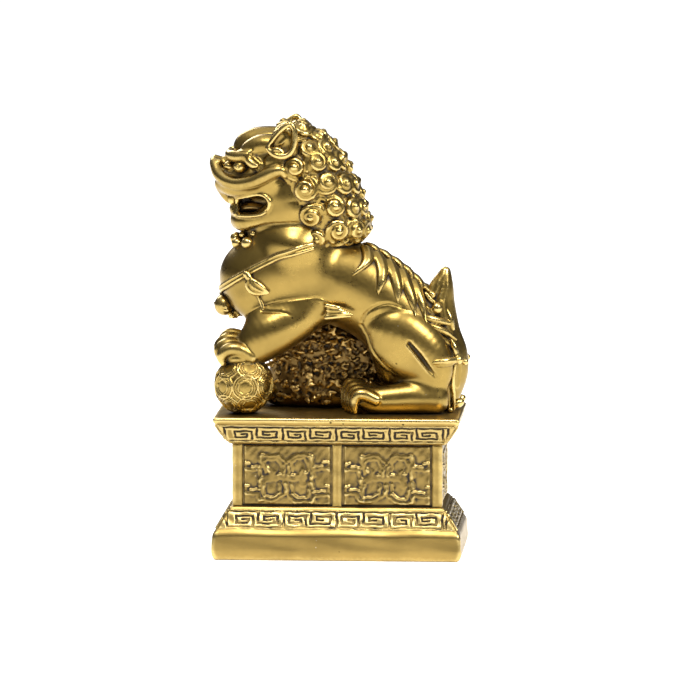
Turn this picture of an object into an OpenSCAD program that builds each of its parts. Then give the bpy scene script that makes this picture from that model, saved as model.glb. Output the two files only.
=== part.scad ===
// Guardian lion (foo dog) on a panelled plinth, a small gilt cast ornament.
// Millimetres, +Z up. The origin is the middle of the plinth's underside.
// The lion faces -X, and its left side faces -Y, the front of the plinth.

/* [Plinth] */
// Length of the plinth's foot
foot_l = 85; // [78:1:92]
// Depth of the plinth's foot
foot_d = 50; // [44:1:56]
// Height of the foot
foot_h = 18; // [15:0.5:21]
// Height of the foot's upright band, below its slope
foot_band_h = 9.4; // [6:0.2:12]
// Length of the waist, between its end faces
waist_l = 70; // [64:1:74]
// Depth of the waist
waist_d = 36; // [30:1:40]
// Height of the waist
waist_h = 21.3; // [15:0.1:28]
// Height of the cornice
cornice_h = 9.6; // [7:0.1:12]
// How far the cornice overhangs the waist at its top, all round
cornice_out = 7; // [5:0.5:8]
// Width of a corner post
post_w = 3.6; // [2.5:0.1:5]
// How far posts and panels stand proud of the waist
panel_proud = 0.8; // [0.4:0.1:1.5]
// Height of the raised key pattern on the foot and cornice
fret_proud = 0.5; // [0.3:0.1:1]
// Key units on a long face
fret_units_long = 8; // [4:2:12]
// Key units on an end face
fret_units_end = 4; // [2:2:8]

/* [Lion] */
// Size of the lion against its drawn size
lion_size = 1; // [0.85:0.05:1.05]
// Half the spacing of the forelegs
fore_y = 12; // [10:0.5:14]
// Half the spacing of the hind legs
hind_y = 10; // [8:0.5:13]
// Radius of the ball under the paw
ball_r = 10; // [8:0.1:11]
// Radius of a large mane curl
curl_r = 3.4; // [2.5:0.1:4]
// How far a mane curl stands out of the mane
curl_h = 2.2; // [1:0.1:3]

/* [Hidden] */

foot_top_l = waist_l + 3;
foot_top_d = waist_d + 3;
cornice_low_l = waist_l + 4;
cornice_low_d = waist_d + 4;
cornice_l = waist_l + 2 * cornice_out;
cornice_d = waist_d + 2 * cornice_out;
waist_z = foot_h;
cornice_z = foot_h + waist_h;
top_z = cornice_z + cornice_h;
edge_h = 1;        // height of the cornice's upright top edge
sink = 0.6;        // how deep an applied piece is let into what carries it
fret_margin = 0.9; // plain border round a band of keys
gilt = "goldenrod";
dark_gilt = "darkgoldenrod";
shade = "saddlebrown";

// ---------- helpers ----------

// A box centred on X and Y, standing on z
module slab(l, d, h, z = 0) {
    translate([-l / 2, -d / 2, z]) cube([l, d, h]);
}

// A four-sided frustum between two levels
module frustum(l1, d1, z1, l2, d2, z2) {
    hull() {
        slab(l1, d1, 0.01, z1);
        slab(l2, d2, 0.01, z2 - 0.01);
    }
}

// One organic lump: [x, y, z, r] and a squash across the body
module lump(p, across = 1, fn = 18) {
    translate([p[0], p[1], p[2]]) scale([1, across, 1]) sphere(r = p[3], $fn = fn);
}

// Lumps joined into one smooth mass
module mass(points, across = 1, fn = 18) {
    hull() for (p = points) lump(p, across, fn);
}

// Points the Z axis of its children along a direction
module aim(at, dir) {
    flat = norm([dir[0], dir[1]]);
    translate(at) rotate([0, atan2(flat, dir[2]), atan2(dir[1], dir[0])]) children();
}

// The same piece on both sides of the body
module both_sides() {
    children();
    mirror([0, 1, 0]) children();
}

// Places the lion on the plinth
module on_plinth() {
    translate([0, 0, top_z]) scale(lion_size) children();
}

// A snail curl: a low drum with a round middle
module curl(r, h) {
    translate([0, 0, -2 * sink]) cylinder(h = 2 * sink + h * 0.6, r1 = r, r2 = r * 0.85, $fn = 20);
    translate([0, 0, h * 0.5]) sphere(r = r * 0.5, $fn = 20);
}

// ---------- plinth ----------

module plinth_foot() {
    color(gilt) {
        slab(foot_l, foot_d, foot_band_h);
        frustum(foot_l - 1, foot_d - 1, foot_band_h, foot_top_l, foot_top_d, foot_h);
    }
}

module plinth_waist() {
    color(dark_gilt) slab(waist_l, waist_d, waist_h, waist_z);
}

module plinth_cornice() {
    color(gilt) {
        frustum(cornice_low_l, cornice_low_d, cornice_z,
            cornice_l, cornice_d, top_z - edge_h);
        slab(cornice_l, cornice_d, edge_h, top_z - edge_h);
    }
}

// A post at each corner of the waist, let into it
module corner_posts() {
    color(gilt)
    for (x = [-1, 1], y = [-1, 1])
        translate([x * (waist_l / 2 + panel_proud - post_w / 2),
                y * (waist_d / 2 + panel_proud - post_w / 2), waist_z])
            translate([-post_w / 2, -post_w / 2, 0]) cube([post_w, post_w, waist_h]);
}

// The upright bar between two panels, front and back
module centre_posts() {
    color(gilt)
    for (y = [-1, 1])
        translate([-post_w / 2, y * (waist_d + panel_proud - sink) / 2 - (panel_proud + sink) / 2,
                waist_z])
            cube([post_w, panel_proud + sink, waist_h]);
}

panel_gap = 0.4; // seam round a panel
relief = 0.5;    // height of a panel's ribbon pattern
long_panel_l = waist_l / 2 + panel_proud - 1.5 * post_w - 2 * panel_gap;
end_panel_l = waist_d + 2 * panel_proud - 2 * post_w - 2 * panel_gap;
panel_h = waist_h - 2 * panel_gap;

// A panel lying flat: two ribbon hooks back to back, and a pair of bars out to each side
module panel(l) {
    hook_r = panel_h * 0.3;
    ribbon = 1.5;
    plate = panel_proud - relief;
    translate([-l / 2, -panel_h / 2, -sink]) cube([l, panel_h, plate + sink]);
    for (side = [0, 1]) mirror([side, 0, 0]) {
        difference() {
            translate([hook_r - ribbon / 2, 0, 0]) cylinder(h = panel_proud, r = hook_r, $fn = 40);
            translate([hook_r - ribbon / 2, 0, plate])
                cylinder(h = panel_proud, r = hook_r - ribbon, $fn = 40);
            translate([hook_r * 1.2, -hook_r * 0.45, plate])
                cube([hook_r, hook_r * 0.9, panel_proud]);
        }
        for (y = [-1, 1])
            translate([hook_r * 1.55, y * hook_r * 0.8 - ribbon / 2, 0])
                cube([l / 2 - hook_r * 1.55, ribbon, panel_proud]);
    }
}

// Stands a panel on one face of the waist
module on_waist(face_angle, out, along) {
    rotate([0, 0, face_angle]) translate([along, -out, waist_z + waist_h / 2])
        rotate([90, 0, 0]) children();
}

long_panel_x = (waist_l / 2 + panel_proud - post_w / 2) / 2;

module front_left_panel() {
    color(gilt) on_waist(0, waist_d / 2, -long_panel_x) panel(long_panel_l);
}

module front_right_panel() {
    color(gilt) on_waist(0, waist_d / 2, long_panel_x) panel(long_panel_l);
}

module back_left_panel() {
    color(gilt) on_waist(180, waist_d / 2, long_panel_x) panel(long_panel_l);
}

module back_right_panel() {
    color(gilt) on_waist(180, waist_d / 2, -long_panel_x) panel(long_panel_l);
}

module left_end_panel() {
    color(gilt) on_waist(-90, waist_l / 2, 0) panel(end_panel_l);
}

module right_end_panel() {
    color(gilt) on_waist(90, waist_l / 2, 0) panel(end_panel_l);
}

// One key: a square spiral strip in a cell of w by h, opening on its left
module key(w, h) {
    t = min(w, h) / 7;
    linear_extrude(height = fret_proud + sink)
        polygon([[0, 0], [w - t, 0], [w - t, h], [t, h], [t, h * 0.3], [w - 3.2 * t, h * 0.3],
                [w - 3.2 * t, h * 0.7], [w - 4.4 * t, h * 0.7], [w - 4.4 * t, h * 0.3 + t],
                [2 * t, h * 0.3 + t], [2 * t, h - t], [w - 2 * t, h - t],
                [w - 2 * t, t], [0, t]]);
}

// A row of keys, mirrored in turn, centred on its face
module key_row(l, h, units) {
    w = l / units;
    for (i = [0 : units - 1])
        translate([-l / 2 + (i + (i % 2)) * w, 0, -sink])
            mirror([i % 2, 0, 0]) translate([0.15, 0, 0]) key(w - 0.3, h);
}

// Lays rows of keys on the four sloping faces between two rectangles
module fret_band(l1, d1, z1, l2, d2, z2) {
    for (face = [[0, l1, d1, l2, d2, fret_units_long], [90, d1, l1, d2, l2, fret_units_end],
            [180, l1, d1, l2, d2, fret_units_long], [270, d1, l1, d2, l2, fret_units_end]]) {
        run = (face[4] - face[2]) / 2;
        slope = norm([run, z2 - z1]);
        row_l = min(face[1], face[3]) - 2 * fret_margin;
        rotate([0, 0, face[0]])
            translate([0, -face[2] / 2, z1]) rotate([90 + atan2(run, z2 - z1), 0, 0])
            translate([0, fret_margin, 0])
            key_row(row_l, slope - 2 * fret_margin, face[5]);
    }
}

module cornice_fret() {
    color(gilt)
    fret_band(cornice_low_l, cornice_low_d, cornice_z, cornice_l, cornice_d, top_z - edge_h);
}

module foot_fret() {
    color(gilt)
    fret_band(foot_l - 1, foot_d - 1, foot_band_h, foot_top_l, foot_top_d, foot_h);
}

// ---------- lion: body ----------
// From here on, z is measured from the top of the plinth.

module torso() {
    color(gilt) on_plinth() {
        mass([[-24, 0, 42, 16.5], [-15, 0, 56, 14]], 0.92);
        mass([[-24, 0, 42, 16.5], [4, 0, 42, 13]], 0.92);
        mass([[4, 0, 42, 13], [11, 0, 37, 17], [17, 0, 21, 18]], 0.85);
    }
}

// The raised foreleg, from its shoulder to the paw that holds the ball
module left_foreleg() {
    color(gilt) on_plinth() {
        mass([[-14, -fore_y + 1, 44, 8.5], [-6, -fore_y, 34, 5.5]]);
        mass([[-6, -fore_y, 34, 5.5], [-28, -fore_y - 1, 26, 5]]);
        mass([[-28, -fore_y - 1, 26, 5], [-35, -fore_y - 1, 23, 5]]);
        for (i = [-1.5 : 1 : 1.5])
            mass([[-36, -fore_y - 1 + i * 3, 23, 2.3], [-40, -fore_y - 1 + i * 3.4, 18, 2]], 1, 14);
    }
}

module right_foreleg() {
    color(gilt) on_plinth() {
        mass([[-14, fore_y - 1, 44, 9], [-17, fore_y, 26, 6]]);
        mass([[-17, fore_y, 26, 6], [-18, fore_y, 9, 5]]);
        mass([[-18, fore_y, 6, 5], [-22, fore_y, 5, 4.6]]);
        for (i = [-1.5 : 1 : 1.5])
            mass([[-23, fore_y + i * 2.6, 4, 2.2], [-27, fore_y + i * 2.8, 2.2, 2]], 1, 14);
    }
}

// A hind leg: the folded thigh, the shank and the long foot on the plinth
module hind_leg() {
    mass([[17, -hind_y + 3, 27, 11], [22, -hind_y + 3, 20, 11], [11, -hind_y + 2, 22, 8]], 0.7);
    mass([[20, -hind_y + 1, 14, 7], [33, -hind_y, 6.5, 4.5]]);
    mass([[33, -hind_y, 5, 4.6], [10, -hind_y - 2, 4.4, 4.2]]);
    for (i = [-1.5 : 1 : 1.5])
        mass([[9, -hind_y - 2 + i * 2.4, 4, 2.4], [4.6, -hind_y - 2 + i * 2.7, 2.4, 2.2]], 1, 14);
}

module left_hind_leg() {
    color(gilt) on_plinth() hind_leg();
}

module right_hind_leg() {
    color(gilt) on_plinth() mirror([0, 1, 0]) hind_leg();
}

// The flame of hair behind each elbow
module elbow_tufts() {
    color(gilt) on_plinth() both_sides()
        for (lock = [[3, 39], [4, 34.5], [2, 31]])
            mass([[-5, -fore_y, 33, 2.6], [lock[0], -fore_y + 1, lock[1], 0.9]], 0.8, 14);
}

// The knot of hair behind each hock
module hock_tufts() {
    color(gilt) on_plinth() both_sides() {
        mass([[34, -hind_y, 12, 3], [37, -hind_y + 1, 17, 1.4]], 1, 14);
        mass([[34, -hind_y, 12, 3], [30, -hind_y - 1, 18, 1.2]], 1, 14);
    }
}

module spine_tufts() {
    color(dark_gilt) on_plinth()
        for (p = [[11, 56.5, 3], [15.5, 53, 3], [19.5, 49.5, 3], [23.5, 46, 2.8], [27, 42, 2.6]])
            translate([p[0], 0, p[1]]) sphere(r = p[2], $fn = 20);
}

// Locks of fur that hang from the spine down each flank
module flank_strands() {
    color(gilt) on_plinth() both_sides()
        for (i = [0 : 4])
            mass([[9.5 + 4 * i, -7, 53.5 - 3.4 * i, 1.8], [5 + 4 * i, -14 + i, 43 - 3.4 * i, 1.4]],
                1, 13);
}

// ---------- lion: head ----------

module head() {
    color(gilt) on_plinth() {
        mass([[-23, 0, 86, 12.5], [-30, 0, 86, 9], [-16, 0, 80, 12]], 1.15);
        mass([[-30, 0, 83, 8], [-37, 0, 80.5, 5.5]], 1.15);
        mass([[-16, 0, 80, 12], [-18, 0, 66, 9]], 1.15);
    }
}

module lower_jaw() {
    color(gilt) on_plinth()
        mass([[-34, 0, 66.5, 4], [-30, 0, 66, 4.2], [-21, 0, 66.5, 5.5]], 1.6);
}

module tongue() {
    color(shade) on_plinth()
        mass([[-35, 0, 70.5, 1.7], [-26, 0, 71.5, 2]], 2, 14);
}

// A front block of teeth and a fang on each side, above and below
module teeth() {
    color(gilt) on_plinth() {
        translate([-40, -4, 73]) cube([2.2, 8, 3]);
        both_sides() {
            translate([-38, -6, 72]) cylinder(h = 3.6, r1 = 0.4, r2 = 1.1, $fn = 16);
            translate([-35, -5.4, 69.5]) cylinder(h = 3, r1 = 1, r2 = 0.4, $fn = 16);
        }
    }
}

module eyes() {
    color(dark_gilt) on_plinth() both_sides()
        translate([-34.6, -7.6, 84]) sphere(r = 2.6, $fn = 28);
}

module brows() {
    color(gilt) on_plinth() both_sides() {
        mass([[-37, -4, 88.5, 1.5], [-34, -9, 88.5, 1.5]], 1, 14);
        mass([[-34, -9, 88.5, 1.5], [-29, -12, 87.5, 1.3]], 1, 14);
        mass([[-29, -6, 94, 3.4], [-17, -9, 95.5, 2.6]], 1, 16);
    }
}

module nose() {
    color(gilt) on_plinth() {
        translate([-40.8, 0, 84.8]) sphere(r = 3.6, $fn = 28);
        both_sides() translate([-38.6, -3.8, 83.4]) sphere(r = 2.3, $fn = 24);
    }
}

// Hollow leaf-shaped ears, rolled at the rim
module ears() {
    color(gilt) on_plinth() both_sides()
        difference() {
            mass([[-21, -13.5, 88, 3.2], [-15, -14.5, 89, 3.6], [-14.5, -15.5, 98, 1.2]], 0.7);
            mass([[-20.5, -15.6, 88.2, 1.5], [-16, -16.4, 89, 1.8], [-15.4, -17, 95, 0.7]], 0.7, 14);
        }
}

// The rolled upper lip, from the nose back to the cheek
module moustache_rolls() {
    color(gilt) on_plinth() both_sides() {
        mass([[-42, -2.6, 81, 1.8], [-35, -9, 79.2, 2.2]], 1, 14);
        mass([[-35, -9, 79.2, 2.2], [-25, -14, 78.5, 2.4]], 1, 14);
        mass([[-25, -14, 78.5, 2.4], [-19, -15.5, 84, 2.6]], 1, 14);
    }
}

// The row of beard curls under the jaw
module beard_beads() {
    color(gilt) on_plinth() {
        for (x = [-36.5 : 4 : -24.5])
            both_sides() translate([x, -4.5 - (x + 36.5) * 0.45, 59.2 - (x + 36.5) * 0.03])
                sphere(r = 2.3, $fn = 22);
        translate([-38, 0, 60]) sphere(r = 2.3, $fn = 22);
    }
}

// The mane is a leaning capsule: its upper middle, its lower middle, and their radii
mane_top = [-12, 0, 82];
mane_top_r = 14.5;
mane_low = [-3, 0, 64];
mane_low_r = 13;
mane_across = 1.12;
mane_up = (mane_top - mane_low) / norm(mane_top - mane_low);
mane_back = [mane_up[2], 0, -mane_up[0]];

module mane_cap() {
    color(dark_gilt) on_plinth()
        mass([[mane_top[0], 0, mane_top[2], mane_top_r], [mane_low[0], 0, mane_low[2], mane_low_r]],
            mane_across, 24);
}

// Rings of curls round the capsule. Each ring has its place from the capsule's top (0) to its
// foot (1), its tilt towards the top, and the half sweep and the number of its curls.
curl_rings = [[0, 72, 50, 2], [0, 44, 95, 5], [0, 14, 105, 8], [0.5, 0, 100, 7], [1, 0, 98, 7],
    [1, -30, 80, 6]];

module mane_curls() {
    color(gilt) on_plinth()
        for (ring = curl_rings, i = [0 : ring[3] - 1]) {
            az = -ring[2] + 2 * ring[2] * i / (ring[3] - 1);
            middle = mane_top + (mane_low - mane_top) * ring[0];
            r = mane_top_r + (mane_low_r - mane_top_r) * ring[0];
            out = cos(ring[1]) * cos(az) * mane_back + [0, cos(ring[1]) * sin(az), 0]
                + sin(ring[1]) * mane_up;
            aim(middle + [out[0] * r, out[1] * r * mane_across, out[2] * r], out)
                curl(curl_r, curl_h);
        }
}

// ---------- lion: harness ----------

module chest_strap() {
    color(dark_gilt) on_plinth() both_sides() {
        mass([[-12, -14.5, 56, 1.5], [-24, -15.2, 50, 1.5]], 1, 14);
        mass([[-24, -15.2, 50, 1.5], [-34, -12, 46.5, 1.5]], 1, 14);
        mass([[-34, -12, 46.5, 1.5], [-41, -1.5, 43, 1.5]], 1, 14);
    }
}

module strap_tassels() {
    color(gilt) on_plinth() both_sides()
        for (p = [[-29, -14, 41.5], [-36.5, -9, 39]])
            mass([[p[0], p[1], p[2] + 4, 2.4], [p[0] + 0.5, p[1], p[2] - 3, 1]], 0.7, 16);
}

module chest_bell() {
    color(gilt) on_plinth()
        translate([-41.5, 0, 35]) {
            rotate_extrude($fn = 32) polygon([[0, -3.4], [1.8, -3], [2.9, -1.6], [3.2, 0], [2.7, 1.8],
                    [1.5, 2.9], [0.9, 3.2], [0.9, 5], [0, 5]]);
            cylinder(h = 0.8, r = 3.5, center = true, $fn = 32);
        }
}

// ---------- lion: tail, ball, rock ----------

// The flame tail: three locks that rise from the rump
module tail() {
    color(gilt) on_plinth() {
        mass([[35, 0, 8, 5], [38, 0, 20, 5.4]], 1, 16);
        mass([[38, 0, 20, 5.4], [36, 0, 36, 4.2]], 1, 16);
        mass([[36, 0, 36, 4.2], [34.5, 0, 50, 1.2]], 1, 16);
        both_sides() mass([[38, -2, 18, 4], [33.5, -5.5, 40, 1.3]], 1, 14);
    }
}

module tail_curls() {
    color(gilt) on_plinth() both_sides() {
        translate([33, -5, 32]) sphere(r = 2.6, $fn = 22);
        translate([39, -5, 12]) sphere(r = 2.6, $fn = 22);
        translate([37, -7, 5]) sphere(r = 2.8, $fn = 22);
    }
}

module brocade_ball() {
    color(gilt) on_plinth() translate([-32, -fore_y, ball_r]) sphere(r = ball_r, $fn = 48);
}

// The pitted rock under the belly, towards the far side
module rockwork() {
    color(shade) on_plinth() {
        mass([[-18, 8, 4, 4], [9, 8, 4, 4], [9, 13, 4, 4], [-12, 13, 4, 4]], 1, 14);
        mass([[-18, 6, 12, 5], [8, 6, 11, 5], [6, 10, 12, 5], [-10, 10, 12, 5]], 1, 14);
        mass([[-16, 3, 21, 5], [4, 3, 22, 5], [2, 8, 25, 5], [-10, 8, 24, 5]], 1, 14);
    }
}

plinth_foot();
plinth_waist();
plinth_cornice();
corner_posts();
centre_posts();
front_left_panel();
front_right_panel();
back_left_panel();
back_right_panel();
left_end_panel();
right_end_panel();
cornice_fret();
foot_fret();
torso();
left_foreleg();
right_foreleg();
left_hind_leg();
right_hind_leg();
elbow_tufts();
hock_tufts();
head();
lower_jaw();
tongue();
teeth();
eyes();
brows();
nose();
ears();
moustache_rolls();
beard_beads();
mane_cap();
mane_curls();
spine_tufts();
flank_strands();
chest_strap();
strap_tassels();
chest_bell();
tail();
tail_curls();
brocade_ball();
rockwork();
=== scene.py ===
# %% [markdown]
# # A gilt guardian lion on its plinth
# This lesson builds the looks of a small cast ornament around its measured CAD frame: a seated
# guardian lion with one forepaw on a ball, on a panelled plinth. The real thing is resin, cast
# in one mould and painted old gold, so its forms melt into each other like wax. The stiff work
# of the plinth is made by hand tools, and the lion is modelled like clay, in small cells of
# space, because a sculptor's soft joins can't be had from boxes and extrusions.

# %% Load the frame
import math

import bpy
import numpy as np
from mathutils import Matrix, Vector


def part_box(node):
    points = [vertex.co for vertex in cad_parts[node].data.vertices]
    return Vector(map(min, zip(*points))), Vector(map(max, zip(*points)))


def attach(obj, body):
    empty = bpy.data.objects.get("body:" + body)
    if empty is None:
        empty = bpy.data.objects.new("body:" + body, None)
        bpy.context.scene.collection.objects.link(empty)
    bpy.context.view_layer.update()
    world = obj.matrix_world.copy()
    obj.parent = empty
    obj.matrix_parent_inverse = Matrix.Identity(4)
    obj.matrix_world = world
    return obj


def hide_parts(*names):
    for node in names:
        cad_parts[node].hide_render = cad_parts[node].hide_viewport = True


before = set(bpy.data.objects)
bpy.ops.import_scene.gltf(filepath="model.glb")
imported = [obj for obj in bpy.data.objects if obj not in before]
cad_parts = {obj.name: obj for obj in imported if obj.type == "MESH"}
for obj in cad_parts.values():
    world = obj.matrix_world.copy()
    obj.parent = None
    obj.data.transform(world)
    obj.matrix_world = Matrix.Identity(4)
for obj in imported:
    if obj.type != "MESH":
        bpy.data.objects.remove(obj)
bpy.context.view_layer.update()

import openvdb
from mathutils import Vector

MM = 0.001                       # every size below is in millimetres
BODY = "root"
random = np.random.default_rng(8)


def node_box(node):
    """A node's lowest and highest corners, in millimetres."""
    low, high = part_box(node)
    return np.array(low) / MM, np.array(high) / MM


_, FOOT_HIGH = node_box("plinth_foot")
CORNICE_LOW, CORNICE_HIGH = node_box("plinth_cornice")
WAIST_LOW, WAIST_HIGH = node_box("plinth_waist")
TOP = CORNICE_HIGH[2]            # the lion's own heights start at the top of the plinth
print("plinth top at", round(TOP, 2), "mm")

# %% [markdown]
# The camera stands far away with a long lens, as for a product picture, a little above the
# statue and a little towards its tail. The floor is a wide pale disc, large enough to fill the
# view behind the statue.

# %% Camera and floor
VIEW_TURN = math.radians(3.7)    # how far the camera stands towards the tail end
VIEW_RISE = math.radians(6.7)    # how far it looks down
VIEW_FAR = 2500.0
VIEW_WIDE = 239.0                # what the picture takes in, across the statue
VIEW_AT = Vector((3.2, 0.0, 69.4))

scene = bpy.context.scene
bpy.ops.object.select_all(action="DESELECT")
towards = Vector((math.sin(VIEW_TURN) * math.cos(VIEW_RISE),
                  -math.cos(VIEW_TURN) * math.cos(VIEW_RISE), math.sin(VIEW_RISE)))
bpy.ops.object.camera_add(location=(VIEW_AT + towards * VIEW_FAR) * MM,
                          rotation=towards.to_track_quat("Z", "Y").to_euler())
camera = bpy.context.object
camera.name = "product_camera"
camera.data.lens = camera.data.sensor_width * VIEW_FAR / VIEW_WIDE
camera.data.clip_start, camera.data.clip_end = 0.05, 60
scene.camera = camera
scene.view_settings.view_transform = "Standard"

bpy.ops.mesh.primitive_circle_add(vertices=96, radius=9, fill_type="NGON", location=(0, 0, 0))
floor = bpy.context.object
floor.name = "pale_floor"
print("lens", round(camera.data.lens), "mm")

# %% [markdown]
# The light is a studio's: a soft box high on the right, one overhead in front, one behind for
# the back, and a wide diffuser in the ceiling that keeps the floor white all over. The room
# itself is dim at the horizon, because gold is only as rich as the dark that it mirrors.

# %% Lights
STATUE_MIDDLE = Vector((0, 0, 0.07))


def soft_box(name, place, size, power):
    """A square area lamp aimed at the middle of the statue."""
    place = Vector(place)
    aim = (place - STATUE_MIDDLE).to_track_quat("Z", "Y").to_euler()
    bpy.ops.object.light_add(type="AREA", location=place, rotation=aim)
    lamp = bpy.context.object
    lamp.name = name
    lamp.data.shape = "SQUARE"
    lamp.data.size = size
    lamp.data.energy = power


soft_box("key_box", (0.85, -0.6, 0.95), 0.42, 15)
soft_box("top_box", (-0.1, -0.55, 1.15), 0.4, 10)
soft_box("back_box", (-0.5, 0.95, 0.75), 0.5, 6)
bpy.ops.object.light_add(type="SUN", location=(0, 0, 2))
overhead = bpy.context.object
overhead.name = "overhead_diffuser"
overhead.data.energy = 1.05
overhead.data.angle = math.radians(80)

# %% [markdown]
# Materials are written as sums: a socket is wrapped in a small class, so that `1 - mask` or
# `mask * 0.4` lays down the Math node that works it out.

# %% A small shader language
class Term:
    """A number that changes over the surface, with the usual operators."""

    def __init__(self, tree, socket):
        self.tree, self.socket = tree, socket

    def node(self, kind, settings=None, inputs=None, out=0):
        """Any node: its type, its settings first, then its inputs by name or place."""
        made = self.tree.nodes.new(kind)
        for key, value in (settings or {}).items():
            setattr(made, key, value)
        for key, value in (inputs or {}).items():
            if isinstance(value, Term):
                self.tree.links.new(value.socket, made.inputs[key])
            else:
                made.inputs[key].default_value = value
        return Term(self.tree, made.outputs[out])

    def math(self, operation, *values):
        return self.node("ShaderNodeMath", {"operation": operation}, dict(enumerate(values)))

    def __add__(self, other):
        return self.math("ADD", self, other)

    def __radd__(self, other):
        return self.math("ADD", other, self)

    def __sub__(self, other):
        return self.math("SUBTRACT", self, other)

    def __rsub__(self, other):
        return self.math("SUBTRACT", other, self)

    def __mul__(self, other):
        return self.math("MULTIPLY", self, other)

    def __rmul__(self, other):
        return self.math("MULTIPLY", other, self)

    def between(self, low, high):
        """0 below one value, 1 above the other, and a soft step from one to the next."""
        return self.node("ShaderNodeMapRange", {"interpolation_type": "SMOOTHSTEP"},
                         {"Value": self, "From Min": low, "From Max": high})

    def mix(self, first, second):
        """This number blends from one colour to another."""
        kinds = {"data_type": "RGBA", "blend_type": "MIX"}
        made = self.node("ShaderNodeMix", kinds, {"Factor": self}, out=2)
        for key, value in ((6, first), (7, second)):
            if isinstance(value, Term):
                self.tree.links.new(value.socket, made.socket.node.inputs[key])
            else:
                made.socket.node.inputs[key].default_value = (*value, 1)
        return made


def new_material(name):
    """An empty node material: its shader, and a term to start sums from."""
    made = bpy.data.materials.new(name)
    made.use_nodes = True
    tree = made.node_tree
    shader = tree.nodes["Principled BSDF"]
    return made, shader, Term(tree, None)


# %% [markdown]
# Old gold is paint over a dark ground: gold on every face, a brown-black wash left in the
# hollows, and a paler, smoother rub on the edges that hands have polished. How deep each point
# lies is worked out later from the finished forms and stored on the mesh as `hollow` (0.5 on a
# flat face, more in a crease, less on an edge). A second, wider measure of how enclosed each
# point is darkens broad hollows and the places under and between forms: that is painted shade,
# not wash. Fine noise breaks it all up, and dark pin-holes and pale specks stand for the
# bubbles and dust of a cheap casting.

# %% Old gold
def old_gold(name, gold, rub, wash, shade_and_patina=1.0, rough=0.33):
    """Gold paint with a dark wash in its hollows, painted shade in wide ones, a rub on its edges.
    """
    made, shader, term = new_material(name)
    place = term.node("ShaderNodeTexCoord", out=3)
    hollow = term.node("ShaderNodeAttribute", {"attribute_name": "hollow"}, out=2)
    # How enclosed each point is over a wider reach: it steers the painted shade.
    wide = term.node("ShaderNodeAttribute", {"attribute_name": "painted_shade"}, out=2)
    cloud = term.node("ShaderNodeTexNoise", {}, {"Vector": place, "Scale": 90.0, "Detail": 3.0})
    grain = term.node("ShaderNodeTexNoise", {}, {"Vector": place, "Scale": 900.0, "Detail": 2.0})
    pits = term.node("ShaderNodeTexVoronoi", {}, {"Vector": place, "Scale": 210.0})
    specks = term.node("ShaderNodeTexVoronoi", {}, {"Vector": place, "Scale": 330.0})
    deep = (hollow + (grain - 0.5) * 0.06).between(0.55, 0.74)
    # Painted shade: broad hollows and the places under and between forms are darkened.
    shade = (wide + (cloud - 0.5) * 0.12).between(0.52, 0.86) * (0.55 * shade_and_patina)
    edge = (hollow + (grain - 0.5) * 0.05).between(0.47, 0.34)
    tone = cloud.between(0.3, 0.72)
    base = tone.mix([c * 0.82 for c in gold], gold)
    base = (edge * 0.75).mix(base, rub)
    # Here the painted shade is laid on, as a brown three times lighter than the wash.
    base = shade.mix(base, [c * 3.2 for c in wash])
    base = (deep * min(1.0, shade_and_patina)).mix(base, wash)
    pit = pits.between(0.105, 0.07) * cloud.between(0.55, 0.62)
    speck = specks.between(0.075, 0.045) * cloud.between(0.42, 0.36)
    base = (pit * 0.85).mix(base, wash)
    base = (speck * 0.4).mix(base, (0.93, 0.86, 0.66))
    finish = deep * 0.3 + (grain - 0.5) * 0.14 + (tone * -0.05 + rough) - edge * 0.06
    height = grain * 0.35 + cloud * 0.5 - pit * 1.2
    bump = term.node("ShaderNodeBump", {}, {"Strength": 0.22, "Distance": 0.0002,
                                            "Height": height})
    links = made.node_tree.links
    links.new(base.socket, shader.inputs["Base Color"])
    links.new(finish.socket, shader.inputs["Roughness"])
    links.new((1.0 - deep * 0.75).socket, shader.inputs["Metallic"])
    links.new(bump.socket, shader.inputs["Normal"])
    return made


# The dark wash of the hollows; three times lighter, it is also the colour of the painted shade.
WASH_AND_SHADE = (0.020, 0.012, 0.005)
LION_GOLD = old_gold("lion_gold", (0.33, 0.222, 0.058), (0.66, 0.49, 0.18), WASH_AND_SHADE)
PLINTH_GOLD = old_gold("plinth_gold", (0.37, 0.25, 0.072), (0.66, 0.49, 0.18), WASH_AND_SHADE, rough=0.38)
PLATE_GOLD = old_gold("plate_gold", (0.27, 0.183, 0.055), (0.56, 0.42, 0.16), WASH_AND_SHADE, rough=0.38)
# Darker gold with stronger painted shade, for the rock under the belly, the tongue and the mane
# cap: painted shade for parts that sit deep in shade.
SHADE_DARK_GOLD = old_gold("shade_dark_gold", (0.20, 0.125, 0.04), (0.50, 0.33, 0.11), WASH_AND_SHADE, shade_and_patina=1.6,
                     rough=0.42)
print("materials", len(bpy.data.materials))


# %% [markdown]
# The statue stands on white card. The card gives off a little light of its own, as a lit table
# does, so that it stays white behind the statue and lights its undersides.

# %% The floor's own finish
def pale_card():
    """Matt white card with the faintest mottling, with a little light of its own."""
    made, shader, term = new_material("pale_card")
    place = term.node("ShaderNodeTexCoord", out=3)
    cloud = term.node("ShaderNodeTexNoise", {}, {"Vector": place, "Scale": 3.0})
    made.node_tree.links.new(cloud.mix((0.93, 0.93, 0.93), (0.96, 0.96, 0.96)).socket,
                             shader.inputs["Base Color"])
    shader.inputs["Roughness"].default_value = 0.9
    shader.inputs["Emission Color"].default_value = (1, 1, 1, 1)
    shader.inputs["Emission Strength"].default_value = 0.5
    return made


floor.data.materials.append(pale_card())


# %% [markdown]
# The room round the table is only a glow: brighter overhead, dim at the height of the statue.
# Metal paint shows this change of light as a dark band along the side of every round form.

# %% The room
world = bpy.data.worlds.new("studio")
world.use_nodes = True
scene.world = world


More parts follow.
